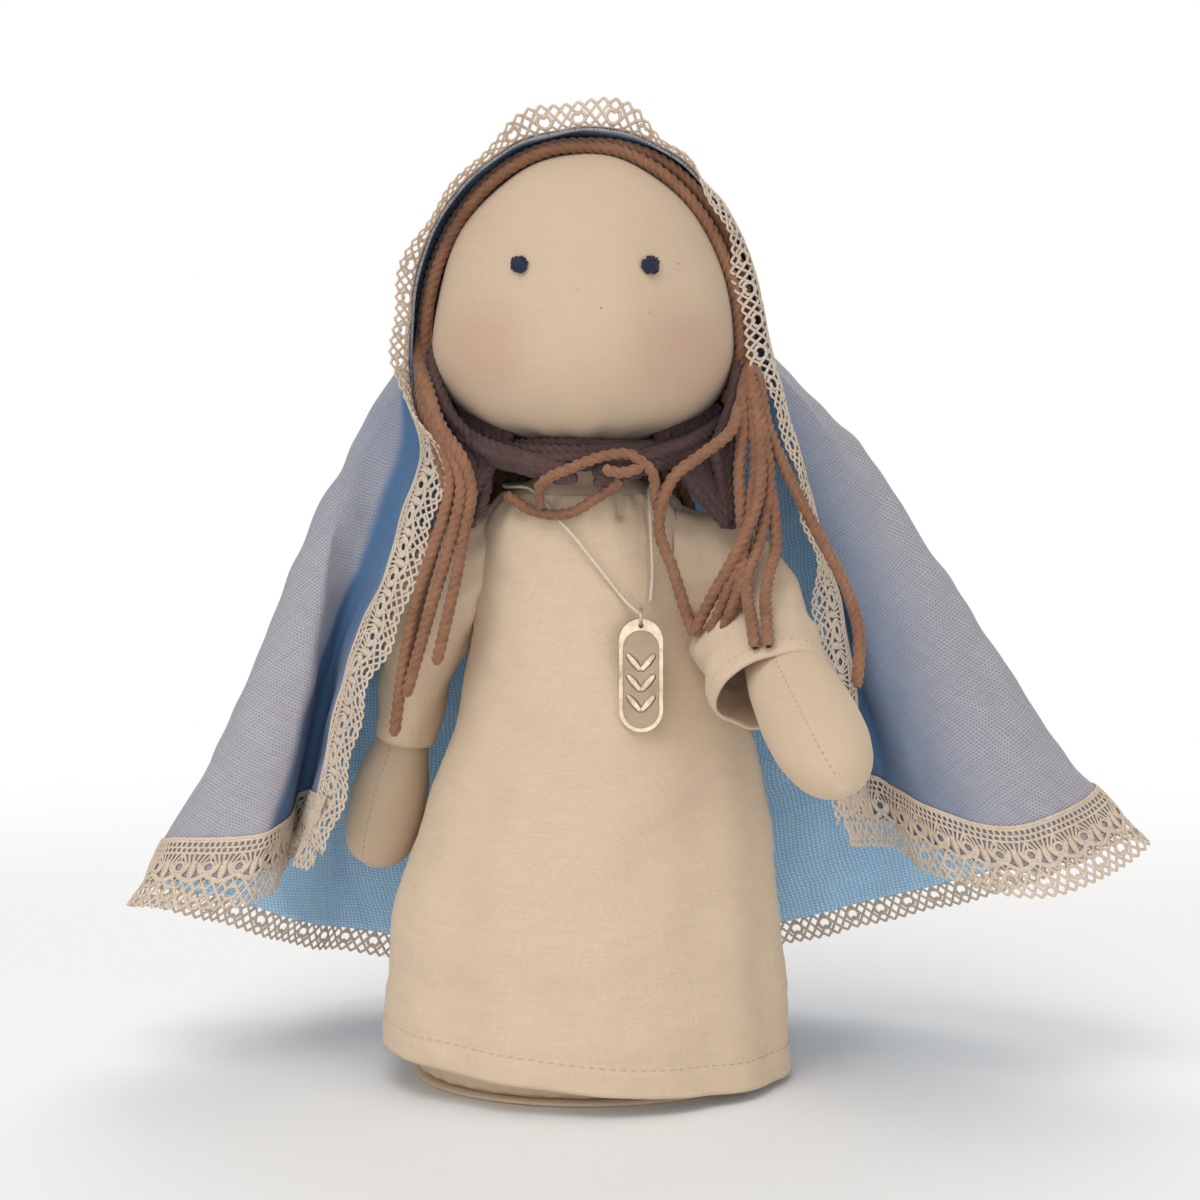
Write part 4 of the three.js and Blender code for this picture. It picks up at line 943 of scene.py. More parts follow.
@dataclass
class Arm:
    """One arm: a stuffed mitten on its shoulder joint, and the gown's sleeve over it."""

    side: Side
    pivot: tuple
    aim: tuple
    cuff: tuple
    seam_turn: float
    length: float = 110.0
    sleeve_length: float = 62.0
    arm_half: tuple = (6.0, 8.5)
    hand_half: tuple = (13.0, 11.0)
    armhole: tuple = (19.5, 14.5)
    cuff_sag: tuple = (0.0, 0.0, 0.0)
    cut_length: float = 70.0
    sleeve_top: float = 162.5
    # Where the sleeve bends on its way: sideways and up from the armhole, and back from the cuff.
    sleeve_bend: tuple = (16.0, -6.0, 24.0)
    drag_height: float = 0.55
    gather_height: float = 0.45
    # A length along the sleeve, between the body and the arm, from a little before the shoulder.
    sleeve_blend: tuple = (-4.0, 22.0)
    tip_length: float = 4.0
    unfilled: float = 0.96
    wrist_share: float = 0.3
    taper: tuple = (0.96, 1.0, 0.9, 0.66, 0.2)
    # Distances from the shoulder, with the shares of the arm's half size there, and shares of the hand's length.
    arm_places: tuple = (-5.1, -3.3, 2.4, 34.1)
    arm_shares: tuple = (0.05, 0.8, 1.0, 1.08)
    hand_places: tuple = (0.36, 0.6, 0.8, 0.93)
    blur: int = 9
    rows: int = 84
    columns: int = 48
    most_swell: float = 1.1
    way: Array = field(init=False)
    outward: Array = field(init=False)
    deep: Array = field(init=False)

    def __post_init__(self) -> None:
        """Work out the arm's own directions: along it, outward and towards the viewer."""
        self.way = unit(np.array(self.aim, float))
        x_axis = np.array([1.0, 0, 0])
        across = unit(x_axis - self.way[0] * self.way)
        self.deep = np.cross(self.way, across)
        self.outward = across * self.side.value

    @property
    def name(self) -> str:
        """Name of the arm, which is also its body's."""
        return f"{self.side.label}_arm"

    def sections(self, along: Array) -> tuple[Array, Array]:
        """Half width and half depth of the arm at distances from the shoulder."""
        wrist, rest = self.sleeve_length, self.length - self.sleeve_length
        places = [*self.arm_places, wrist, *(wrist + share * rest for share in self.hand_places), self.length]
        kernel = np.hanning(self.blur) / np.hanning(self.blur).sum()
        halves = []
        for arm, hand in zip(self.arm_half, self.hand_half):
            sizes = [*(share * arm for share in self.arm_shares), mixed(arm, hand, self.wrist_share),
                     *(share * hand for share in self.taper)]
            fine = np.pad(np.interp(along, places, sizes), self.blur // 2, mode="reflect", reflect_type="odd")
            halves.append(np.convolve(fine, kernel, "valid"))
        return tuple(halves)

    def build(self, looks: Wardrobe) -> None:
        """Make the arm, its seam stitches and the sleeve."""
        self.mitten(looks)
        self.sleeve(looks)

    def mitten(self, looks: Wardrobe) -> None:
        """The stuffed arm and hand, swollen by air pressure between its two sewn seams."""
        along = np.linspace(self.arm_places[0], self.length, self.rows)
        angle = np.linspace(0, TAU, self.columns + 1)
        wide, thick = self.sections(along)
        tip = np.sqrt(np.clip((self.length - along) / self.tip_length, 0.002, 1))
        rounded = np.where(along > self.length - self.tip_length, np.maximum(tip, 0.3), 1)
        wide, thick = (np.maximum(h, 0.02) * rounded for h in (wide, thick))
        wide[-1] = thick[-1] = wide[0] = thick[0] = 0.0
        ring = np.cos(angle)[:, None] * self.outward
        depth = np.sin(angle)[:, None] * self.deep * self.side.value
        points = np.array(self.pivot) + along[:, None, None] * self.way
        points = points + ring * wide[:, None, None] * self.unfilled + depth * thick[:, None, None] * self.unfilled
        points = self.facing_out(points)
        piece = grid_piece(self.name, points)
        seam = points[:, self.seam_column(points)]
        swell(piece, seam, cap=self.most_swell)
        declare(piece, "skin_cotton", looks.skin, body=self.name,
                stands_for=(f"{self.name}_skin", f"{self.name}_filling"))
        self.seam(piece, seam, looks)

    def seam_column(self, points: Array) -> int:
        """The column of the grid that lies along the seam."""
        middle = points[len(points) * 3 // 4]
        centre = middle[:-1].mean(0)
        wanted = np.cos(self.seam_turn) * self.outward + np.sin(self.seam_turn) * self.deep
        return int(np.argmax((middle - centre) @ wanted))

    @staticmethod
    def facing_out(points: Array) -> Array:
        """A ringed grid with its rings closed and its faces pointing outwards."""
        points[:, -1] = points[:, 0]
        row = len(points) // 2
        across = points[row, 1] - points[row, 0]
        down = points[row + 1, 0] - points[row, 0]
        centre = points[row, :-1].mean(0)
        return points[:, ::-1] if np.cross(across, down) @ (points[row, 0] - centre) < 0 else points

    def seam(self, piece: Piece, seam: Array, looks: Wardrobe) -> None:
        """Small stitches sunk in the arm's seam, over the hand only."""
        hand = seam[int(len(seam) * 0.55) : -2]
        spots = even_path(hand, 60)
        found = np.array([piece.closest_point_on_mesh(tuple(p * MM))[1] for p in spots]) / MM
        stitches = stitch_row(f"{self.side.label}_hand_seam", found, length=1.5, gap=0.7, radius=0.2)
        declare(stitches, "skin_cotton", looks.stitch, body=self.name)

    def sleeve(self, looks: Wardrobe) -> None:
        """The sleeve: rings that turn from the armhole on the gown's side to the open cuff."""
        share = np.linspace(0, 1, 46)
        angle = np.linspace(0, TAU, 73)
        sign = self.side.value
        root = np.array([0.0, -2.0 * sign, self.sleeve_top])
        root[0] = FORM.lean(root[2]) + sign * FORM.gown_half(root[2], 0)
        cuff = np.array(self.pivot) + self.way * self.sleeve_length + np.array(self.cuff_sag)
        aside, rise, back = self.sleeve_bend
        first = root + np.array([sign * aside, 0, rise])
        second = cuff - self.way * back
        t = share[:, None]
        middle = root * (1 - t) ** 3 + first * 3 * t * (1 - t) ** 2 + second * 3 * t**2 * (1 - t) + cuff * t**3
        eased = smooth(share * 1.25)[:, None]
        up = unit(mixed(np.array([sign * 0.25, 0, 1.0]), self.outward, eased))
        front = unit(mixed(np.array([0, -1.0, 0]), self.deep, eased))
        tall = mixed(self.armhole[0], self.cuff[0], smooth(share * 1.1))
        deep = mixed(self.armhole[1], self.cuff[1], share)
        ring = np.cos(angle)[None, :, None] * (up * tall[:, None])[:, None]
        ring = ring + np.sin(angle)[None, :, None] * (front * deep[:, None])[:, None]
        points = middle[:, None] + ring
        points = self.set_in(points, share, sign)
        out = unit(points - middle[:, None])
        drag = Ripple(60 + sign, 17)(points[..., 0], points[..., 1], points[..., 2])
        gathers = np.cos(11 * angle + sign)[None] * bump(share, 0.06, 0.09)[:, None]
        uneven = self.drag_height * drag * smooth(share * 5)[:, None] + self.gather_height * gathers
        points = points + out * uneven[..., None]
        points = self.facing_out(points)
        pattern = cloth_map(points)
        piece = grid_piece(f"{self.side.label}_sleeve_cloth", points, pattern)
        thicken(piece, LINEN)
        declare(piece, "gown_linen", looks.gown, stands_for=(f"{self.side.label}_sleeve",))
        self.name
        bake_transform(piece)
        line = points[-4] + unit(points[-4] - points[-4].mean(0)) * 0.05
        stitches = stitch_row(f"{self.side.label}_cuff_stitches", line, length=1.6, gap=0.9, radius=0.14)
        declare(stitches, "gown_linen", looks.gown_stitch, body=self.name)

    @staticmethod
    def set_in(points: Array, share: Array, sign: int) -> Array:
        """Lay the sleeve's first ring on the gown's own side, easing away along the sleeve."""
        y, z = points[..., 1], points[..., 2]
        part = np.clip(np.abs(y) / FORM.gown_half(z, 1), 0, 0.97)
        on_gown = FORM.lean(z) + sign * (FORM.gown_half(z, 0) * np.sqrt(1 - part**2) + 0.1)
        near = (1 - smooth(share * 4.0))[:, None]
        points = points.copy()
        points[..., 0] = mixed(points[..., 0], on_gown, near)
        return points


def swell(piece: Piece, seam: Array, cap: float) -> None:
    """Stuff a closed piece: Blender's cloth with inner pressure, held along its seam.

    Args:
        piece: closed mesh, a little smaller than the stuffed shape.
        seam: points of the sewn line that doesn't move, in millimetres.
        cap: the furthest that a point may move, in millimetres.
    """
    mesh = piece.data
    rest = np.zeros(len(mesh.vertices) * 3)
    mesh.vertices.foreach_get("co", rest)
    rest = rest.reshape(-1, 3)
    near = np.linalg.norm(rest[:, None] - seam[None] * MM, axis=-1).min(1) < 0.4 * MM
    held = piece.vertex_groups.new(name=STUFFING["vertex_group_mass"])
    held.add(np.flatnonzero(near).tolist(), 1.0, "REPLACE")
    cloth = piece.modifiers.new("stuffing", "CLOTH")
    for key, value in STUFFING.items():
        setattr(cloth.settings, key, value)
    cloth.settings.effector_weights.gravity = 0.0
    cloth.point_cache.frame_end = STUFFING_STEPS
    scene = bpy.context.scene
    for step in range(STUFFING_STEPS):
        scene.frame_set(step + 1)
    shown = piece.evaluated_get(bpy.context.evaluated_depsgraph_get()).to_mesh()
    swollen = np.zeros(len(shown.vertices) * 3)
    shown.vertices.foreach_get("co", swollen)
    move = swollen.reshape(-1, 3) - rest
    far = np.linalg.norm(move, axis=1, keepdims=True)
    move = np.where(np.isfinite(move), move * np.minimum(1, cap * MM / np.maximum(far, 1e-9)), 0)
    piece.modifiers.remove(cloth)
    piece.vertex_groups.clear()
    scene.frame_set(1)
    mesh.vertices.foreach_set("co", (rest + move).astype(np.float32).ravel())
    mesh.update()
    rounder = piece.modifiers.new("rounding", "SUBSURF")
    rounder.levels = rounder.render_levels = 1


# Hair


@dataclass
class Hair:
    """Plied yarn: sewn over the head, hanging in locks, wound round the neck and tied at the throat."""

    radius: float = 2.0
    pitch: float = 8.5
    plies: int = 3
    sides: int = 15
    steps_per_mm: float = 1.1
    fewest_steps: int = 24
    # Places on the throat's yarn between the body and the head, and on a right lock between the body and the arm, in
    # metres.
    neck_blend: tuple = ((0, 0, 0.198), (0, 0, 0.216))
    lock_blend: tuple = ((0.04, -0.02, 0.196), (0.05, -0.026, 0.156))
    cap_strands: int = 26
    cap_low: float = -0.55
    # The winding at the throat: radius of its middle, and half its width and height.
    throat: tuple = (25.6, 5.6, 3.2)
    back_top: float = 213.0
    back_drop: float = 84.0
    back_half: float = 38.0

    def piece(self, name: str, routes: Sequence[Array], finish: Material, node: str,
              thin: float = 1.0) -> Piece:
        """One bundle of strands as a piece.

        Args:
            name: name of the piece.
            routes: the strands' control points.
            finish: the yarn's material.
            node: the solid that the bundle stands for.
            thin: share of the full yarn radius.

        Returns:
            The bundle.
        """
        grids = []
        for route in routes:
            span = run_length(np.asarray(route, float))[-1]
            path = spline(route, max(int(span * self.steps_per_mm), self.fewest_steps))[None]
            grids.append(tube_grid(path, even_radius(path, self.radius * thin), self.sides, self.plies, self.pitch))
        bundle = tube_piece(name, grids)
        declare(bundle, "hair_yarn", finish, stands_for=(node,))
        return bundle

    def build(self, looks: Wardrobe) -> None:
        """Make all of the hair."""
        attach(self.cap(looks), "head")
        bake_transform(self.neck(looks))
        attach(self.back(looks), "torso")
        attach(self.tie(looks), "torso")
        for name, routes in self.locks().items():
            lock = self.piece(f"{name}_strands", routes, looks.hair, name)
            side = Side.RIGHT if name.startswith("right") else Side.LEFT
            f"{side.label}_arm"
            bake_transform(lock)

    def cap(self, looks: Wardrobe) -> Piece:
        """Strands sewn along the parting: great-circle arcs from the left nape over the parting to the right.

        The front strands lie flat on the left and are heaped on the right, most above the temple.
        """
        count = self.cap_strands
        share = np.linspace(0, 1, count)
        start_turn = np.radians(mixed(-7.0, 88.0, share**1.1))
        level = np.sqrt(1 - self.cap_low**2)
        halves = []
        for sign, front in ((-1, 88.0), (1, 80.0)):
            stop_turn = np.radians(mixed(front, 178.0, share))
            start = unit(np.stack([np.full(count, 0.012 * sign), np.sin(start_turn), np.cos(start_turn)], -1))
            low = np.full(count, self.cap_low)
            stop = np.stack([sign * np.sin(stop_turn) * level, -np.cos(stop_turn) * level, low], -1)
            turn = np.arccos(np.clip((start * stop).sum(-1), -1, 1))[:, None, None]
            t = np.linspace(0, 1, 14)[None, :, None]
            halves.append((np.sin((1 - t) * turn) * start[:, None] + np.sin(t * turn) * stop[:, None]) / np.sin(turn))
        arcs = unit(np.concatenate([halves[0][:, ::-1], halves[1]], axis=1))
        step = np.arange(arcs.shape[1])
        heap = np.interp(step, [0, 12, 15, 17, 20, 24, 27], [0.25, 0.3, 0.4, 0.9, 1.0, 0.6, 0.1])
        raised = np.interp(np.arange(count), [0, 1, 2, 3, 5], [0, 2.4, 1.8, 1.3, 0])
        layer = 2.2 + 0.25 * (np.arange(count) % 2)[:, None] + raised[:, None] * heap
        routes = [FORM.on_head(arc, grow - 0.7 * bump(step, 13.5, 0.8)) for arc, grow in zip(arcs, layer)]
        scalp = self.scalp()
        bundle = self.piece("head_hair", routes, looks.hair, "hair_cap", thin=0.98)
        declare(scalp, "hair_yarn", looks.hair, body="head")
        return bundle

    @staticmethod
    def scalp() -> Piece:
        """Brown cloth under the sewn strands, behind the hairline."""
        angle = np.linspace(np.radians(82), np.radians(278), 90)
        turn = np.linspace(0.02, np.arccos(-0.5), 50)
        way = np.stack([
            -np.sin(turn)[:, None] * np.sin(angle), -np.sin(turn)[:, None] * np.cos(angle),
            np.broadcast_to(np.cos(turn)[:, None], (50, 90)),
        ], axis=-1)
        cloth = grid_piece("scalp_cloth", FORM.on_head(way, 0.9))
        thicken(cloth, 0.6)
        return cloth

    def neck(self, looks: Wardrobe) -> Piece:
        """Strands wound across the throat, each a level arc about the neck with a slight sway."""
        low, high = (np.array(c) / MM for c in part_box("neck_hair"))
        level = (low[2] + high[2]) / 2
        rng = np.random.default_rng(8)
        angle = np.radians(np.linspace(-112, 112, 15))
        routes = []
        middle, wide, tall = self.throat
        for turn in np.linspace(0, TAU, 9)[:-1]:
            radius = middle + wide * np.cos(turn)
            height = level + tall * np.sin(turn)
            sway = 0.5 * np.sin(angle * rng.uniform(1.5, 3.5) + rng.uniform(0, TAU))
            routes.append(around(radius, angle, height + sway))
        routes.append(around(middle, angle, level + 0 * angle))
        for sign in (-1, 1):
            routes.extend(self.sweep(sign, start, rng) for start in np.linspace(90, 126, 15))
            routes.extend(self.beside(sign, order, rng) for order in range(6))
            routes.extend(self.inside(sign, order, rng) for order in range(8))
        # These strands take the darker copy of the yarn, as painted shade under the chin.
        return self.piece("neck_strands", routes, looks.shaded_hair, "neck_hair")

    @staticmethod
    def inside(sign: int, order: int, rng: np.random.Generator) -> Array:
        """A short strand from close beside the neck that sweeps out and ends behind the loose lock."""
        lock = 41.0 if sign < 0 else 45.5
        x = np.array([41.0, 38.5, 39.0, lock]) - np.array([2.3, 2.2, 1.2, 0.25]) * order
        y = np.array([-4.0, -10.0, -16.0, -20.5]) - np.array([0.8, 0.9, 0.7, 0.2]) * order
        z = np.array([212.0, 202.0, 190.5, 177.5 + rng.uniform(-2.5, 4)])
        return np.stack([sign * (x + rng.uniform(-0.5, 0.5)), y, z], -1)

    @staticmethod
    def beside(sign: int, order: int, rng: np.random.Generator) -> Array:
        """A short strand that hangs beside the neck, behind the loose locks, onto the shoulder."""
        x = np.array([44.0, 45.8, 44.5, 40.5, 39.5, 40.5] if sign < 0 else [44.0, 46.2, 47.5, 46.5, 46.0, 45.5])
        x = x - np.array([0, 0, 0.7, 1.5, 1.8, 1.7] if sign < 0 else [0, 0, 0.7, 1.3, 1.0, 0.4]) * order
        y = np.array([9.0, -4.0, -10.0, -13.5, -17.5, -19.0]) - np.array([1.0, 1.6, 1.6, 1.2, 0.5, 0.3]) * order
        last = rng.uniform(174, 184) if sign < 0 else rng.uniform(174, 179)
        z = np.array([237.0, 224.0, 211.0, 199.0, 189.0, last])
        return np.stack([sign * (x + rng.uniform(-0.8, 0.8, 6)), y, z], -1)

    @staticmethod
    def sweep(sign: int, start: float, rng: np.random.Generator) -> Array:
        """A strand from beside the cheek, drawn down under the chin to the throat.

        Args:
            sign: side of the doll.
            start: degrees round from the front where the strand leaves the head.
            rng: seeded source of small differences.

        Returns:
            The strand's control points.
        """
        share = np.array([1.28, 1.16, 0.95, 0.62, 0.3, 0.06])
        turn = np.radians(start * share + rng.uniform(-2, 2, 6))
        radius = np.array([46.0, 48.0, 46.5, 38.5, 33.5, 31.5]) + rng.uniform(-0.6, 0.6, 6)
        height = np.array([237.0, 226.0, 213.0, 203.5, 198.0, 194.0])
        height = height - rng.uniform(0, 5) * np.array([0, 0, 0.5, 1, 1, 1])
        return around(radius, sign * turn, height)

    def back(self, looks: Wardrobe) -> Piece:
        """Strands that hang down the back in two layers, spreading a little and ending unevenly."""
        rng = np.random.default_rng(12)
        routes = []
        for layer, count in ((0, 17), (1, 16)):
            half = self.back_half - 2 * layer
            for x in np.linspace(-half, half, count):
                z = np.linspace(self.back_top, 131 + rng.uniform(0, 9), 7)
                share = (self.back_top - z) / self.back_drop
                sway = rng.uniform(-1.2, 1.2) * np.sin(share * rng.uniform(3, 6))
                y = mixed(33.8, 36.8, share) - 1.9 + 3.8 * layer
                routes.append(np.stack([x * mixed(0.55, 1.0, smooth(share * 1.6)) + sway, y, z], -1))
        return self.piece("back_strands", routes, looks.hair, "back_hair")

    def tie(self, looks: Wardrobe) -> Piece:
        """The tie at the throat: a low loop over the neckline, a bow with a curled end and a short tail."""
        routes = [
            [(-24, -20.5, 185.5), (-15, -25, 180.5), (-5, -27.5, 180), (4.7, -29, 185.5), (11, -32.5, 190.5)],
            [(-13.5, -27.5, 181.5), (-13, -31, 189), (-3, -34, 194.5), (7.4, -35.4, 198), (14, -35.4, 198),
             (17, -35.2, 195), (11, -36.4, 192.8), (5.5, -36.4, 194)],
            [(16, -34.5, 197), (20, -33.5, 193), (21.2, -29.5, 187), (22, -26.5, 181)],
        ]
        return self.piece("throat_strands", routes, looks.hair, "throat_tie", thin=0.9)

    @staticmethod
    def rooted(side: Side, order: int, route: Sequence[tuple]) -> list:
        """A lock's strand with its top carried up over the side of the head.

        Args:
            side: side of the doll.
            order: number of the strand in its lock.
            route: the strand's points from under the cheek to its end.

        Returns:
            All control points from the top down.
        """
        z = np.array([254.0, 241.0, 230.0]) - 2.0 * order
        turn = np.radians(np.array([104.0, 97.0, 86.0]) - 2.0 * order)
        radius = FORM.head_at(z) + np.array([2.3, 3.4, 3.9])
        return [*map(tuple, around(radius, side.value * turn, z)), *route]

    def locks(self) -> dict[str, list]:
        """Control points of the loose strands, by the solid that each lock stands for."""
        left = [
            [(-50.2, -13, 222), (-48.2, -18, 211), (-42.6, -23, 199.5), (-40.2, -25, 191), (-42.5, -25, 179),
             (-47, -25, 166), (-50.8, -24, 154), (-54.4, -23, 138), (-58.3, -22, 111.5)],
            [(-48.8, -17, 220), (-45.5, -21.5, 209), (-39.5, -25.5, 198), (-37, -27, 189), (-38.8, -26, 178),
             (-42, -26, 166), (-46.5, -26, 151), (-50, -25, 139), (-54.4, -24, 124)],
            [(-47.2, -19.5, 217), (-43, -24.5, 206), (-36.6, -27.5, 196.5), (-34, -27, 187), (-36, -26, 175.4),
             (-38.8, -27, 160.3), (-41.6, -27, 148), (-45, -26, 134)],
            [(-50.8, -8, 221), (-49.5, -13, 212), (-44.5, -18, 199), (-42, -21, 187), (-45, -21, 171.5),
             (-49.4, -21, 156), (-53, -20, 141), (-55.8, -19, 125)],
        ]
        inner = [
            [(50.5, -21, 218), (52.4, -24, 206.5), (53, -28, 196), (52, -31, 184.5), (45.4, -35, 169),
             (38.2, -37, 156), (34.4, -36, 148.6), (32.9, -35, 145), (31.2, -34, 148.8), (26.4, -31, 164),
             (22.3, -30, 176.5), (26.4, -31, 190.8), (35, -31, 197.8), (44, -28, 205), (47, -22, 214)],
            [(49, -20, 217), (51, -23, 206), (51.5, -26, 194), (50, -28, 183), (48.5, -30.5, 173), (45, -35.5, 163),
             (41, -39, 153.5), (37.5, -38.5, 145)],
            [(47.5, -22, 214), (47.5, -24, 203), (46.6, -26.5, 192), (47, -28, 182), (47.5, -30, 172),
             (47, -35.5, 163.5), (44.5, -42, 154), (41, -42.5, 146.5)],
            [(50.5, -19, 217), (50.4, -22, 208), (51.5, -25, 196), (50.3, -27, 182), (48.6, -28.5, 169.8),
             (48.3, -36, 162.3), (48.3, -44.2, 155.8), (49.2, -52, 149.8), (49.8, -57.5, 143)],
            [(51, -20, 218), (52, -22, 212), (54.2, -25, 202), (55.6, -27, 190), (53.6, -29.5, 176),
             (50.5, -33.5, 166.5), (46, -40, 158), (42.5, -44, 150)],
        ]
        outer = [
            [(52, -19, 216), (53.4, -22, 205), (55, -25, 193), (57, -27.5, 181), (57.5, -30, 169.5), (55, -37, 162.3),
             (53.5, -45, 156.2), (53.5, -52.8, 150.2), (53.6, -58.5, 143.5)],
            [(53, -18, 219), (55, -21, 207), (61.2, -25, 191.8), (69.2, -29, 176), (75, -33, 165), (79.5, -38, 155),
             (81.5, -43, 144), (80.5, -47, 130)],
        ]
        sides = {"left_lock": (Side.LEFT, left), "right_inner_lock": (Side.RIGHT, inner),
                 "right_outer_lock": (Side.RIGHT, outer)}
        return {name: [self.rooted(side, k, route) for k, route in enumerate(routes)]
                for name, (side, routes) in sides.items()}


# Gown


@dataclass
class Gown:
    """The cream linen gown: a flared tube with a turned hem, side seams and a slit at the neck."""

    rows: int = 170
    columns: int = 260
    cut_length: float = 190.0
    # The neck slit's x, its lower end, its half width and its depth.
    slit: tuple = (11.3, 177.0, 1.1, 2.2)
    hem_width: float = 9.0
    hem_step: float = 0.45
    hem_groove: float = 0.3
    sway: float = 0.75
    seam_sink: float = 0.35
    gather_height: float = 0.5
    # Creases: seed, size, height and how fast they follow each other upward against sideways.
    creases: tuple = ((5, 42, 0.5, 1.3), (6, 13, 0.09, 1.6))

    def build(self, looks: Wardrobe) -> None:
        """Make the gown and its hem stitches."""
        angle = np.linspace(0, TAU, self.columns + 1)
        upper = FORM.shoulder + (FORM.neckline - FORM.shoulder) * np.sin(np.linspace(1, 0, 40) * np.pi / 2)
        z = np.concatenate([upper, np.linspace(FORM.shoulder, FORM.hem, self.rows - 39)[1:]])
        half = tuple(FORM.gown_half(z, axis) for axis in (0, 1))
        points = ring_points(FORM.lean(z), half, z, angle)
        fade = 1 - smooth((points[..., 2] - FORM.hem) / (FORM.shoulder / 2))
        points[..., 2] -= FORM.hem_tilt * points[..., 0] * fade
        out = unit(points * np.array([1, 1, 0]) / np.array([1.6, 1.0, 1.0]))
        points = points + out * self.folds(points, angle, z)[..., None]
        points[:, -1] = points[:, 0]
        pattern = cloth_map(points)
        gown = grid_piece("gown", points, pattern)
        thicken(gown, LINEN)
        declare(gown, "gown_linen", looks.gown, body="torso", stands_for=("gown_body",))
        row = int(np.argmin(np.abs(z - (FORM.hem + self.hem_width))))
        line = points[row] + out[row] * 0.12
        stitches = stitch_row("gown_hem_stitches", line, length=2.1, gap=1.0, radius=0.16)
        declare(stitches, "gown_linen", looks.gown_stitch, body="torso")

    def folds(self, points: Array, angle: Array, z: Array) -> Array:
        """How far the cloth stands out: long soft folds, creases, hem step, gathers and the neck slit."""
        x, y, height = np.moveaxis(points, -1, 0)
        low = smooth((FORM.shoulder - z) / 120)[:, None]
        sway = np.cos(5 * angle + 0.8) + 0.6 * np.cos(9 * angle + 2.1) + 0.5 * np.cos(14 * angle)
        out = self.sway * low * sway[None]
        for seed, size, rise, pace in self.creases:
            out = out + rise * Ripple(seed, size)(x, y, height * pace)
        row = FORM.hem + self.hem_width
        out = out + self.hem_step * smooth((row - z) / 1.2)[:, None] - self.hem_groove * bump(z, row, 0.8)[:, None]
        out = out - self.seam_sink * bump(np.abs(np.sin(angle)), 1, 0.0012)[None]
        gather = smooth((z - 171) / 12)[:, None]
        out = out + self.gather_height * gather * np.cos(23 * angle + 0.6 * np.sin(4 * angle))[None]
        middle, low_end, half, depth = self.slit
        return out - depth * bump(x, middle, half) * smooth((height - low_end) / 2) * (y < 0)


# Mantle and lace


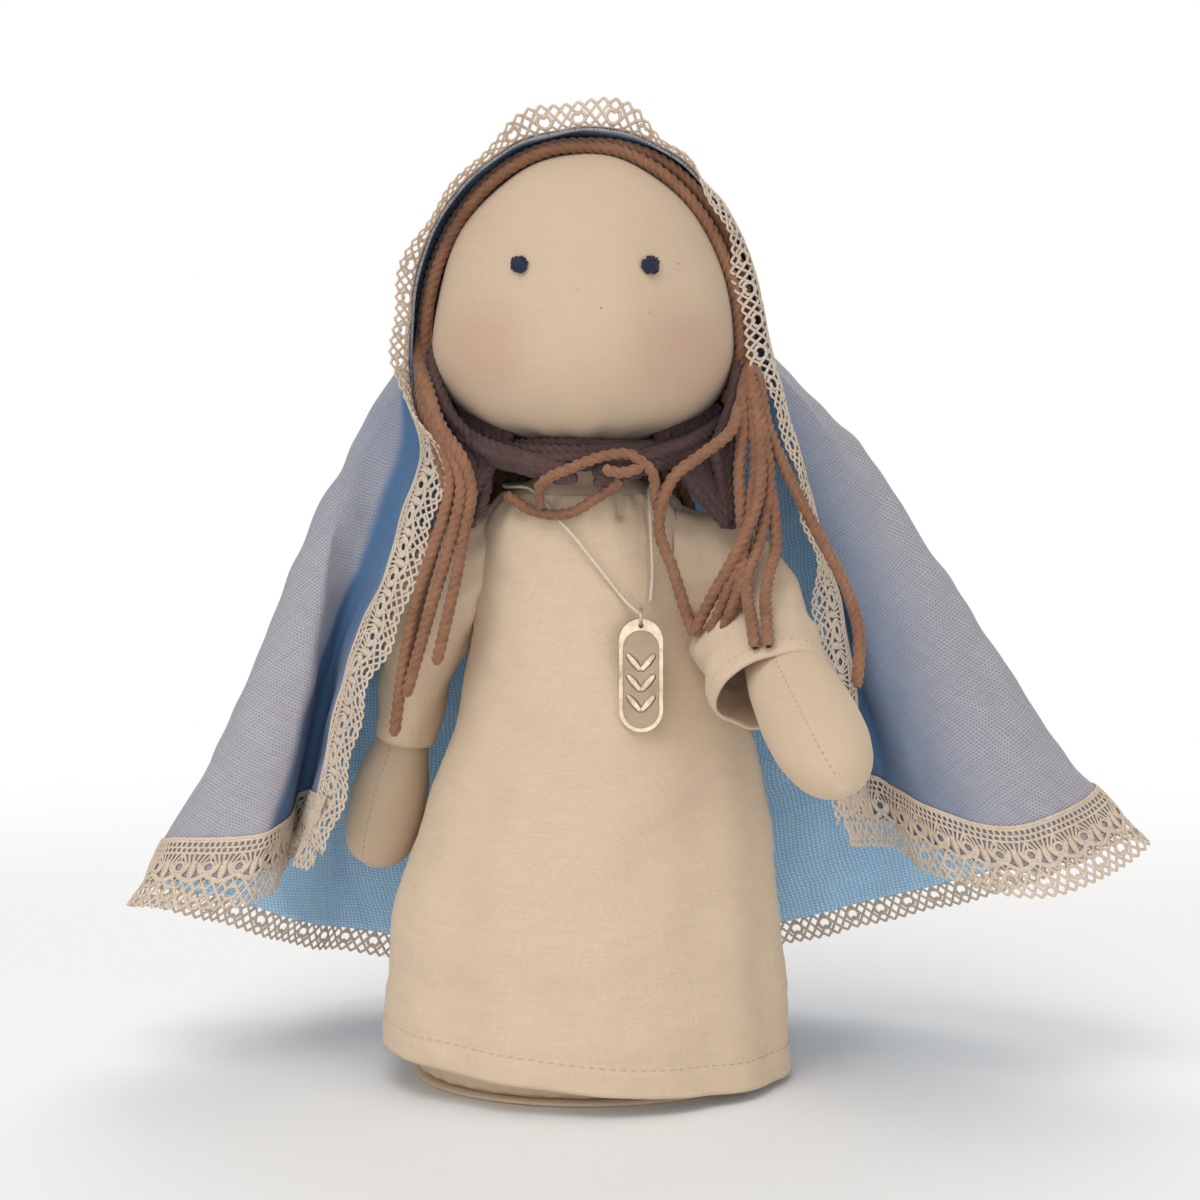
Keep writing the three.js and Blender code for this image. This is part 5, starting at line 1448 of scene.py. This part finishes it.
@dataclass
class Mantle:
    """The blue mantle: worn over the head as a hood, spreading to a folded hem, and edged with lace.

    A place on the cloth is given by round, from the left front edge (-1) by the back (0) to the right
    front edge (1), and down, from the hood's ridge (0) past where it leaves the head (1) to the hem (2).
    """

    hood_radius: float = 53.3
    hood_top: float = 295.3
    hood_level: float = 236.0
    edge_turn: float = np.radians(100)
    ridge_back: float = 8.0
    hang: float = 0.5
    # Number and height of the soft flutes in the back of the hem.
    flutes: tuple = (4, 4.0)
    # Sideways bows of the front edges, two on the left and one on the right: how far, and the middle and reach of
    # each as shares of the fall from the hood to the hem.
    neck_tuck: tuple = (12.0, 0.27, 0.09)
    left_fill: tuple = (14.0, 0.46, 0.17)
    edge_bow: tuple = (15.0, 0.55, 0.28)
    side_belly: tuple = (10.0, 12.5)
    cloth: float = 0.8
    # Width and length of the cloth laid flat, in metres.
    flat: tuple = (0.56, 0.34)
    # Pace of the weave across and down: its columns stand further apart than its rows.
    thread_shares: tuple = (0.7, 1.0)
    lace_over: float = 15.0
    lace_past: float = 9.6
    lace_steps: int = 260
    hem_route: tuple = (
        (-86, -6, 76), (-95, 25, 72), (-104, -5, 64), (-137, 2, 61), (-128, 38, 50), (-86, 70, 30), (-40, 86, 22),
        (8, 88, 20), (84, 80, 33), (146, 46, 60), (170, 4, 80), (140, -22, 70), (112, -14, 74), (98, 8, 79),
        (82, -10, 84),
    )
    # How far the free lace leans out of the cloth's plane: down, then degrees on the left and on the right,
    # and how far the left lace is shifted past the edge, in millimetres.
    lace_lean: tuple = (
        (0.0, 86, 86, 0), (0.08, 84, 82, 0), (0.16, 68, 62, 0), (0.22, 46, 36, 0), (0.3, 28, 12, 0),
        (0.5, 18, 2, 0), (0.7, 22, -18, 0), (0.85, 32, -48, 0), (1.0, 50, -50, 0), (1.1, 44, -36, 1),
        (1.2, 10, -12, 4), (1.3, -18, 0, 8), (1.5, -22, 4, 10.5), (1.7, -14, 4, 10.5), (2.0, -10, 0, 10.5),
    )
    # Creases of the loose cloth and of the hood: seed, size, height and how fast they follow each other upward
    # against sideways.
    loose_creases: tuple = ((21, 46, 0.9, 0.45), (22, 15, 0.3, 0.6))
    hood_creases: tuple = ((23, 24, 0.25, 1.0),)
    # How far the lace lies over the cloth, and how far past both front corners the hem's lace ends.
    lace_lift: float = 0.5
    lace_ends: tuple = (8.5, 4.2)

    def hem_point(self, round_: Array) -> Array:
        """Point of the hem: an even Catmull-Rom curve through the route, with soft flutes at the back."""
        p = with_ends(self.hem_route)
        place = (round_ + 1) / 2 * (len(p) - 3)
        k = np.clip(np.floor(place).astype(int), 0, len(p) - 4)
        t = (place - k)[..., None]
        a, b, c, d = p[k], p[k + 1], p[k + 2], p[k + 3]
        hem = hermite(b, c, (c - a) / 2, (d - b) / 2, t)
        fluted = smooth((0.62 - np.abs(round_)) / 0.2)
        flute = self.flutes[1] * np.cos(TAU * self.flutes[0] * round_) * fluted
        hem[..., :2] += unit(hem[..., :2]) * flute[..., None]
        return hem

    def point(self, round_: Array, down: Array) -> Array:
        """Point of the cloth: over the head on an ellipse about the ridge, then in an easing fall to the hem."""
        round_, down = np.broadcast_arrays(np.asarray(round_, float), np.asarray(down, float))
        angle = self.edge_turn * round_
        ridge_front = self.hood_radius * np.cos(self.edge_turn)
        ridge_y = mixed(self.ridge_back, ridge_front, np.abs(round_))
        ridge = np.stack([0 * angle, ridge_y, 0 * angle + self.hood_top], -1)
        side = np.stack([self.hood_radius * np.sin(angle), self.hood_radius * np.cos(angle)], -1)
        hem = self.hem_point(round_)
        out = np.concatenate([side - ridge[..., :2], 0 * angle[..., None]], -1)
        height = self.hood_top - self.hood_level
        flare = np.linalg.norm(hem[..., :2] - side, axis=-1) / (self.hood_level - hem[..., 2])
        leave = np.arctan2(np.linalg.norm(out, axis=-1), height * flare * self.hang)
        turn = leave * np.minimum(down, 1)
        point = ridge + out * np.sin(turn)[..., None]
        point[..., 2] = self.hood_level + height * np.cos(turn)
        part = np.clip(down - 1, 0, None)
        fall = hem - point
        slope = np.cos(leave) / (height * np.sin(leave))
        early = out * (slope * -fall[..., 2])[..., None] - fall * np.array([1, 1, 0])
        point = point + fall * part[..., None] + early * (part * (1 - part) ** 3)[..., None]
        edge = smooth((np.abs(round_) - 0.72) / 0.28)
        bows = (self.neck_tuck, self.left_fill, self.edge_bow)
        tuck, fill, bow = (far * bump(part, middle, reach) for far, middle, reach in bows)
        push = np.where(round_ < 0, tuck + fill, bow)
        point[..., 0] += np.where(down > 1, (edge * push + self.belly(round_, part)) * (1 - part), 0)
        return point

    def belly(self, round_: Array, part: Array) -> Array:
        """How far the cloth stands out sideways below the hood, most over the arms and nothing at the front edges."""
        beside = np.abs(round_)
        width = smooth((beside - 0.12) / 0.25) * smooth((np.where(round_ < 0, 0.9, 0.78) - beside) / 0.16)
        height = smooth(part / 0.25) * bump(part, 0.42, 0.3) / (1 - 0.42)
        return np.where(round_ < 0, -self.side_belly[0], self.side_belly[1]) * width * height

    def facing(self, round_: Array, down: Array) -> Array:
        """Unit direction out of the cloth's outer face."""
        step = 2e-3
        down = np.clip(down, 2 * step, 2 - step)
        round_ = np.clip(round_, -1 + step, 1 - step)
        across = self.point(round_ + step, down) - self.point(round_ - step, down)
        fall = self.point(round_, down + step) - self.point(round_, down - step)
        return unit(np.cross(across, fall))

    def crumple(self, round_: Array, down: Array) -> Array:
        """Cloth point with its small creases: the smooth place moved along its own facing."""
        base = self.point(round_, down)
        x, y, z = np.moveaxis(base, -1, 0)
        loose = smooth((down - 0.5) / 0.8)
        amount = 0.0
        for share, creases in ((loose, self.loose_creases), (1 - loose, self.hood_creases)):
            for seed, size, rise, pace in creases:
                amount = amount + share * rise * Ripple(seed, size)(x, y, z * pace)
        return base + self.facing(round_, down) * amount[..., None]

    def build(self, looks: Wardrobe) -> None:
        """Make the cloth and both laces."""
        down = np.concatenate([np.linspace(0, 1, 50), np.linspace(1, 2, 96)[1:]])[:, None]
        round_ = np.linspace(-1, 1, 321)[None]
        points = self.crumple(round_, down) + self.facing(*np.broadcast_arrays(round_, down)) * (self.cloth / 2)
        pattern = cloth_map(points) * self.thread_shares
        # The attribute turned carries painted shade, a deeper blue for the cloth's folds.
        cloth = grid_piece("mantle_cloth", points, pattern, self.painted_fold_shade(round_, down))
        thicken(cloth, self.cloth, inside_slot=1)
        declare(cloth, "mantle_linen", looks.mantle, looks.painted_backlit_inside, body="torso", stands_for=("mantle",))
        laces = [self.front_lace(looks), self.hem_lace(looks)]

    @staticmethod
    def painted_fold_shade(round_: Array, down: Array) -> Array:
        """Share of painted shade, a deeper blue, on the mantle's outer face below the hood: behind the left front
        edge's fold, on the upper left side, and towards the right front edge.
        """
        beside = np.abs(round_)
        fold = np.interp(down, *FOLD_LINE)
        left = smooth((beside - fold) / 0.03) * (1 - 0.6 * smooth((beside - 0.93) / 0.07))
        left = left + 0.4 * (1 - smooth((down - 1.1) / 0.45)) * smooth((beside - 0.45) / 0.3) * (1 - left)
        right = (0.62 + 0.33 * smooth((down - 1.25) / 0.4)) * smooth((beside - 0.5) / 0.36)
        return np.where(round_ < 0, left, right) * smooth((down - 0.95) / 0.2)

    def front_lace(self, looks: Wardrobe) -> Piece:
        """Lace up the left front edge, round the face and down the right front edge."""
        half = np.linspace(0, 2, self.lace_steps)
        down = np.concatenate([half[::-1], half[1:]])
        sign = np.concatenate([-np.ones(len(half)), np.ones(len(half) - 1)])
        inward = np.linspace(0, 0.5, 60)
        rows = self.crumple(sign[:, None] * (1 - inward), down[:, None])
        across = self.lace_places()
        edge = self.point(sign, down)
        face = self.facing(sign, down)
        along = unit(np.gradient(edge, axis=0))
        past = edge - self.point(sign * 0.99, np.maximum(down, 1e-3))
        past = unit(past - (past * along).sum(-1, keepdims=True) * along)
        place, left, right, shift = np.array(self.lace_lean, float).T
        lean = np.radians(np.where(sign < 0, np.interp(down, place, left), np.interp(down, place, right)))
        shift = np.where(sign < 0, np.interp(down, place, shift), 0)
        strip = self.strip(rows, across + shift[:, None], rows[:, 0], past, face, lean)
        return self.lace_piece("front_lace_threads", strip, across, looks, "front_lace")

    def hem_lace(self, looks: Wardrobe) -> Piece:
        """Lace along the hem, running a little past both front corners."""
        round_ = np.linspace(-1, 1, 420)
        upward = np.linspace(0, 0.3, 60)
        rows = self.crumple(round_[:, None], 2 - upward[None])
        across = self.lace_places()
        face = self.facing(round_, np.full_like(round_, 2.0))
        past = unit(self.point(round_, 2.0) - self.point(round_, 1.98))
        strip = self.strip(rows, across + 0 * round_[:, None], rows[:, 0], past, face, np.radians(6) + 0 * round_)
        ends = []
        for near, next_ in ((0, 1), (-1, -2)):
            way = unit(strip[near] - strip[next_])
            ends.append(strip[near][None] + way[None] * np.array(self.lace_ends)[:, None, None])
        strip = np.concatenate([ends[0], strip, ends[1][::-1]])
        return self.lace_piece("hem_lace_threads", strip, across, looks, "hem_lace")

    def lace_places(self) -> Array:
        """Distances across a lace, from its heading on the cloth to its points past the edge."""
        return np.linspace(-self.lace_over, self.lace_past, 27)

    def strip(self, rows: Array, across: Array, edge: Array, past: Array, face: Array, lean: Array) -> Array:
        """Surface that a lace lies on: on the cloth up to its edge, then past it at a leaning angle.

        Args:
            rows: cloth points from the edge inward, one row for each step along the edge.
            across: distances across the lace for each step, negative on the cloth and positive past its edge.
            edge: points of the edge.
            past: directions past the edge in the cloth's plane.
            face: directions out of the cloth.
            lean: how far the free lace leans out of that plane.

        Returns:
            Points along by across by 3.
        """
        far = run_length(rows, 1)
        wanted = np.clip(-across, 0, None)
        k = np.clip((far[:, :, None] <= wanted[:, None]).sum(1) - 1, 0, rows.shape[1] - 2)
        line = np.arange(len(rows))[:, None]
        t = ((wanted - far[line, k]) / np.maximum(far[line, k + 1] - far[line, k], 1e-6))[..., None]
        on_cloth = mixed(rows[line, k], rows[line, k + 1], np.clip(t, 0, 3))
        free = np.clip(across, 0, None)
        angle = lean[:, None] * smooth(free / 3.5)
        pace = np.diff(free, axis=1, prepend=free[:, :1])
        forward = np.cumsum(np.cos(angle) * pace, axis=1)
        upward = np.cumsum(np.sin(angle) * pace, axis=1)
        way = past[:, None] * forward[..., None] + face[:, None] * upward[..., None]
        along = np.cumsum(np.linalg.norm(np.gradient(edge, axis=0), axis=-1))
        wave = 0.9 * np.sin(along / 4.1) + 0.6 * np.sin(along / 7.3 + 1)
        flutter = wave[:, None] * smooth((across + 3) / 12)
        return on_cloth + way + face[:, None] * (self.cloth / 2 + self.lace_lift + flutter)[..., None]

    def lace_piece(self, name: str, strip: Array, across: Array, looks: Wardrobe, node: str) -> Piece:
        """Threads of the lace laid on its strip."""
        lace = Lace().piece(name, strip, across)
        declare(lace, "lace_cotton", looks.lace, body="torso", stands_for=(node,))
        return lace


@dataclass
class Lace:
    """Cotton bobbin lace: a heading with eyelets, fans of solid petals, an open net and a pointed edge."""

    repeat: float = 10.0
    height: float = 0.3

    def threads(self) -> Array:
        """Straight pieces of one repeat, each from s, t to s, t with a half width."""
        found = []
        for t, half in ((0.6, 0.65), (1.5, 0.5), (3.6, 0.42), (5.5, 0.5)):
            found += [(2.5 * k, t, 2.5 * k + 2.5, t, half) for k in range(4)]
        found += [(2 * k + 0.5, 1.5, 2 * k + 0.5, 3.6, 0.48) for k in range(5)]
        found += [(2 * k + 1.5, 3.6, 2 * k + 1.5, 5.5, 0.48) for k in range(5)]
        found += [(2.0 * k, 5.5, 5 + (2 * k - 5) * 0.5, 9.3, 0.42) for k in range(6)]
        found.append((0, 5.5, 0, 8.3, 0.45))
        for s, t, radius, half in ((0, 10.2, 1.8, 0.6), (0, 19.0, 2.2, 0.62)):
            turn = np.linspace(0, TAU, 9)
            ring = np.stack([s + radius * np.cos(turn), t + radius * np.sin(turn)], -1)
            found += [(*a, *b, half) for a, b in zip(ring[:-1], ring[1:])]
        arch = [(0, 12.6), (2.5, 14.1), (5, 15.0), (7.5, 14.1), (10, 12.6)]
        found += [(*a, *b, 1.0) for a, b in zip(arch[:-1], arch[1:])]
        found += [(s, 13.4, to, 15.4, 0.36) for s in (-1.5, 1.5) for to in (0, s * 2)]
        pitch = self.repeat / 3
        for row in range(3):
            for k in range(3):
                s, t = pitch * (k + 0.5 * (row % 2)), 15.4 + 2.4 * row
                for step in (-pitch / 2, pitch / 2):
                    middle = ((s + step / 2 + 5) % 10) - 5
                    if np.hypot(middle, t + 1.2 - 19.0) > 1.9:
                        found.append((s, t, s + step, t + 2.4, 0.5))
        for k in range(3):
            s = pitch * (k + 0.5)
            found += [(s, 22.6, s + pitch / 2, 24.5, 0.56), (s + pitch / 2, 24.5, s + pitch, 22.6, 0.56)]
        return np.array(found, float)

    @staticmethod
    def petals() -> Array:
        """Solid ovals of one repeat, as threads with a greater half width."""
        return np.array([(5, 8.2, 5, 14.4, 1.5), (3.5, 8.7, 1.3, 12.8, 1.25), (6.5, 8.7, 8.7, 12.8, 1.25)], float)

    def piece(self, name: str, strip: Array, across: Array) -> Piece:
        """Lace on a strip: flat threads in lace coordinates, carried onto the strip by interpolation.

        Args:
            name: name of the piece.
            strip: points along by across by 3.
            across: the strip's own distances across, from the heading to the points.

        Returns:
            The lace.
        """
        along = run_length(strip[:, len(across) // 2])
        count = max(int(round(along[-1] / self.repeat)), 1)
        first = np.arange(count)[:, None, None, None] * self.repeat
        points = []
        for table, profile in ((self.threads(), (1.0, 1.0)), (self.petals(), (0.45, 0.85, 1.0, 0.85, 0.45))):
            grid = self.flat_tubes(np.repeat(table[None], count, 0), np.array(profile))
            grid[..., 0] = (grid[..., 0] + first) * (along[-1] / (count * self.repeat))
            points.append(self.carry(grid.reshape(-1, *grid.shape[2:]), strip, along, across))
        blank = [np.zeros((*p.shape[:3], 2)) for p in points]
        return tube_piece(name, list(zip(points, blank)))

    def flat_tubes(self, table: Array, profile: Array) -> Array:
        """Flat closed tubes along straight pieces, in lace coordinates s, t and height.

        Args:
            table: pieces as start, stop and half width.
            profile: share of the half width at even places along each piece.

        Returns:
            Points, with rings along each piece and its ends drawn to a point.
        """
        sides = 5
        start, stop, half = table[..., 0:2], table[..., 2:4], table[..., 4]
        way = unit(stop - start)
        square = np.stack([-way[..., 1], way[..., 0]], -1)
        share = np.linspace(0, 1, len(profile))
        middle = start[..., None, :] + (stop - start)[..., None, :] * share[:, None]
        angle = np.linspace(0, TAU, sides + 1)
        flat = half[..., None, None] * profile[:, None] * np.cos(angle)
        rings = middle[..., None, :] + square[..., None, None, :] * flat[..., None]
        high = self.height * np.sin(angle) * profile[:, None] ** 0.5
        high = np.broadcast_to(high, rings.shape[:-1])
        body = np.concatenate([rings, high[..., None]], -1)
        reach = np.minimum(half, 0.5)[..., None]
        ends = (start - way * reach, stop + way * reach)
        tips = [np.concatenate([e, 0 * e[..., :1]], -1)[..., None, None, :] for e in ends]
        tips = [np.broadcast_to(tip, (*body.shape[:-3], 1, sides + 1, 3)) for tip in tips]
        return np.concatenate([tips[0], body, tips[1]], axis=-3).copy()

    @staticmethod
    def carry(grid: Array, strip: Array, along: Array, across: Array) -> Array:
        """Carry lace coordinates onto the strip: bilinear in s and t, and along its normal by height."""
        s = np.interp(grid[..., 0], along, np.arange(len(along)))
        t = np.interp(grid[..., 1] + across[0], across, np.arange(len(across)))
        normal = unit(np.cross(np.gradient(strip, axis=0), np.gradient(strip, axis=1)))
        i = np.clip(s.astype(int), 0, strip.shape[0] - 2)
        j = np.clip(t.astype(int), 0, strip.shape[1] - 2)
        a, b = (s - i)[..., None], (t - j)[..., None]

        def at(values: Array) -> Array:
            """Bilinear value at every lace point."""
            top = mixed(values[i, j], values[i, j + 1], b)
            return mixed(top, mixed(values[i + 1, j], values[i + 1, j + 1], b), a)

        return at(strip) + at(normal) * grid[..., 2:]


# Necklace


@dataclass
class Necklace:
    """The white cord round the neckline, with the ring and the plate that hang on it."""

    radius: float = 0.6
    stand_off: float = 1.2
    side: float = 17.0
    low: float = 149.9
    ring_y: float = -30.9152
    steps: int = 260

    def chest(self, sideways: float, up: float) -> tuple:
        """Point of the cord on the gown's front, measured from the ring."""
        x, z = self.side + sideways, self.low + up
        return x, float(FORM.gown_front(x, z)) - self.radius - self.stand_off, z

    def collar(self, degrees: float) -> tuple:
        """Point of the cord round the top of the neckline."""
        turn = np.radians(degrees)
        x = float(FORM.gown_half(FORM.neckline, 0) * np.sin(turn))
        y = float(-FORM.gown_half(FORM.neckline, 1) * np.cos(turn))
        return x, y, FORM.neckline + self.radius + self.stand_off

    def build(self, looks: Wardrobe) -> None:
        """Make the cord and dress the ring and the plate."""
        left = [(-4, 3), (-12, 13), (-20, 23), (-26.5, 30), (-29, 33)]
        right = [(2.8, 31), (3.2, 22), (3.6, 12), (3, 3.5)]
        turns = [-42, -75, -110, -150, 180, 150, 110, 75, 52]
        route = [(self.side, self.ring_y, self.low), *(self.chest(*p) for p in left),
                 *(self.collar(d) for d in turns), *(self.chest(*p) for p in right)]
        path = spline(route, self.steps)
        strands = tube_grid(path[None], np.full((1, self.steps), self.radius), sides=12, lobes=3, pitch=3.4)
        cord = tube_piece("necklace", [strands])
        declare(cord, "white_thread", looks.cord, body="torso", stands_for=("necklace_cord",))
        length = float(run_length(path)[-1]) * MM
        dress(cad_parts["pendant_plate"], looks.metal)
        dress(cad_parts["pendant_ring"], looks.ring)


def dress_hidden(looks: Wardrobe) -> None:
    """Finishes of the pieces that stay as solids inside the doll."""
    for node, material in (("weight_bag", looks.pellets), ("bottom_card", looks.card),
                           ("left_shoulder_lashing", looks.cord), ("right_shoulder_lashing", looks.cord)):
        dress(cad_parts[node], material)


# Studio


@dataclass
class Studio:
    """Plain pale floor, soft light and a camera at the photograph's angle."""

    target: tuple = (4.7, 0.0, 151.0)
    distance: float = 800.0
    rise: float = np.radians(6)
    field: float = 375.0
    sensor: float = 36.0
    floor_half: float = 4000.0
    floor_z: float = -0.05
    # Distances from the doll, in metres, at which the floor has faded out and at which it starts to fade.
    floor_fade: tuple = (0.62, 0.3)
    # Name, place in metres, size and power of each lamp.
    lamps: tuple = (
        ("key", (-0.25, -0.62, 1.3), 0.8, 6.3), ("left_fill", (-0.85, -0.9, 0.35), 0.9, 3.3),
        ("right_fill", (0.85, -0.9, 0.4), 0.9, 3.0), ("back", (0.1, 0.9, 0.9), 0.9, 6.0),
        ("front", (0.0, -1.2, 0.2), 0.5, 1.4),
    )

    def build(self) -> None:
        """Make the camera, the floor, the world and the lamps."""
        self.camera()
        self.floor()
        self.world()
        for lamp in self.lamps:
            self.lamp(*lamp)
        bpy.context.scene.view_settings.view_transform = "Standard"

    def camera(self) -> None:
        """Camera that looks at the middle of the frame from a little above."""
        data = bpy.data.cameras.new("camera")
        data.sensor_width = self.sensor
        data.lens = self.sensor * self.distance / self.field
        data.clip_start, data.clip_end = 0.05, 20.0
        camera = bpy.data.objects.new("camera", data)
        away = np.array([0, -np.cos(self.rise), np.sin(self.rise)]) * self.distance
        camera.location = (np.array(self.target) + away) * MM
        camera.rotation_euler = (np.pi / 2 - self.rise, 0, 0)
        bpy.context.scene.collection.objects.link(camera)
        bpy.context.scene.camera = camera

    def floor(self) -> None:
        """A wide pale floor that keeps the doll's shadow and fades out into the white surroundings."""
        line = np.array([-self.floor_half, self.floor_half])
        points = np.stack([*np.meshgrid(line, line), np.full((2, 2), self.floor_z)], -1)
        floor = grid_piece("floor", points)
        material = bpy.data.materials.new("pale_floor")
        material.use_nodes = True
        shader = material.node_tree.nodes["Principled BSDF"]
        shader.inputs["Base Color"].default_value = (0.93, 0.93, 0.93, 1)
        shader.inputs["Roughness"].default_value = 0.9
        tree = Tree(material.node_tree)
        place = tree.node("ShaderNodeTexCoord").outputs["Object"]
        away = tree.vector("LENGTH", place).outputs["Value"]
        tree.plug(tree.span(away, *self.floor_fade), shader.inputs["Alpha"])
        dress(floor, material)

    @staticmethod
    def world() -> None:
        """Even white surroundings: plain light on the doll, and white where the camera looks past it."""
        world = bpy.data.worlds.new("studio")
        world.use_nodes = True
        tree = Tree(world.node_tree)
        light = world.node_tree.nodes["Background"]
        light.inputs["Color"].default_value = (1.0, 0.985, 0.96, 1)
        light.inputs["Strength"].default_value = 0.42
        seen = tree.node("ShaderNodeBackground", {"Color": (1.0, 1.0, 1.0, 1.0), "Strength": 1.0})
        path = tree.node("ShaderNodeLightPath")
        shown = tree.maths("MAXIMUM", path.outputs["Is Camera Ray"], path.outputs["Is Glossy Ray"])
        shown = tree.maths("MAXIMUM", shown, path.outputs["Is Transmission Ray"])
        pick = tree.node("ShaderNodeMixShader", {0: shown, 1: light.outputs[0], 2: seen.outputs[0]})
        out = world.node_tree.nodes["World Output"]
        world.node_tree.links.new(pick.outputs[0], out.inputs["Surface"])
        bpy.context.scene.world = world

    def lamp(self, name: str, place: tuple, size: float, power: float) -> None:
        """A soft square lamp aimed at the doll."""
        data = bpy.data.lights.new(name, "AREA")
        data.size = size
        data.energy = power
        lamp = bpy.data.objects.new(name, data)
        lamp.location = place
        away = np.array(place) - np.array(self.target) * MM
        lamp.rotation_euler = (np.arccos(away[2] / np.linalg.norm(away)), 0, np.arctan2(away[1], away[0]) + np.pi / 2)
        bpy.context.scene.collection.objects.link(lamp)


def main() -> None:
    """Build the studio and then the doll, piece by piece."""
    logging.basicConfig(level=logging.INFO, format="%(name)s: %(message)s")
    Studio().build()
    looks = Wardrobe()
    Necklace().build(looks)
    Head().build(looks)
    Body().build(looks)
    Arm(Side.LEFT, pivot=(-42.7, 2, 167), aim=(-26, 17, -104), cuff=(10.5, 16), seam_turn=1.2).build(looks)
    Arm(Side.RIGHT, pivot=(42.7, -2, 167), aim=(30.5, -84, -60), cuff=(19, 15), seam_turn=1.9, cuff_sag=(-4, 1, -3),
        wrist_share=0.8, hand_half=(15.2, 12.4), taper=(1.0, 0.98, 0.82, 0.54, 0.18)).build(looks)
    Gown().build(looks)
    Hair().build(looks)
    Mantle().build(looks)
    dress_hidden(looks)


if __name__ == "__main__":
    main()
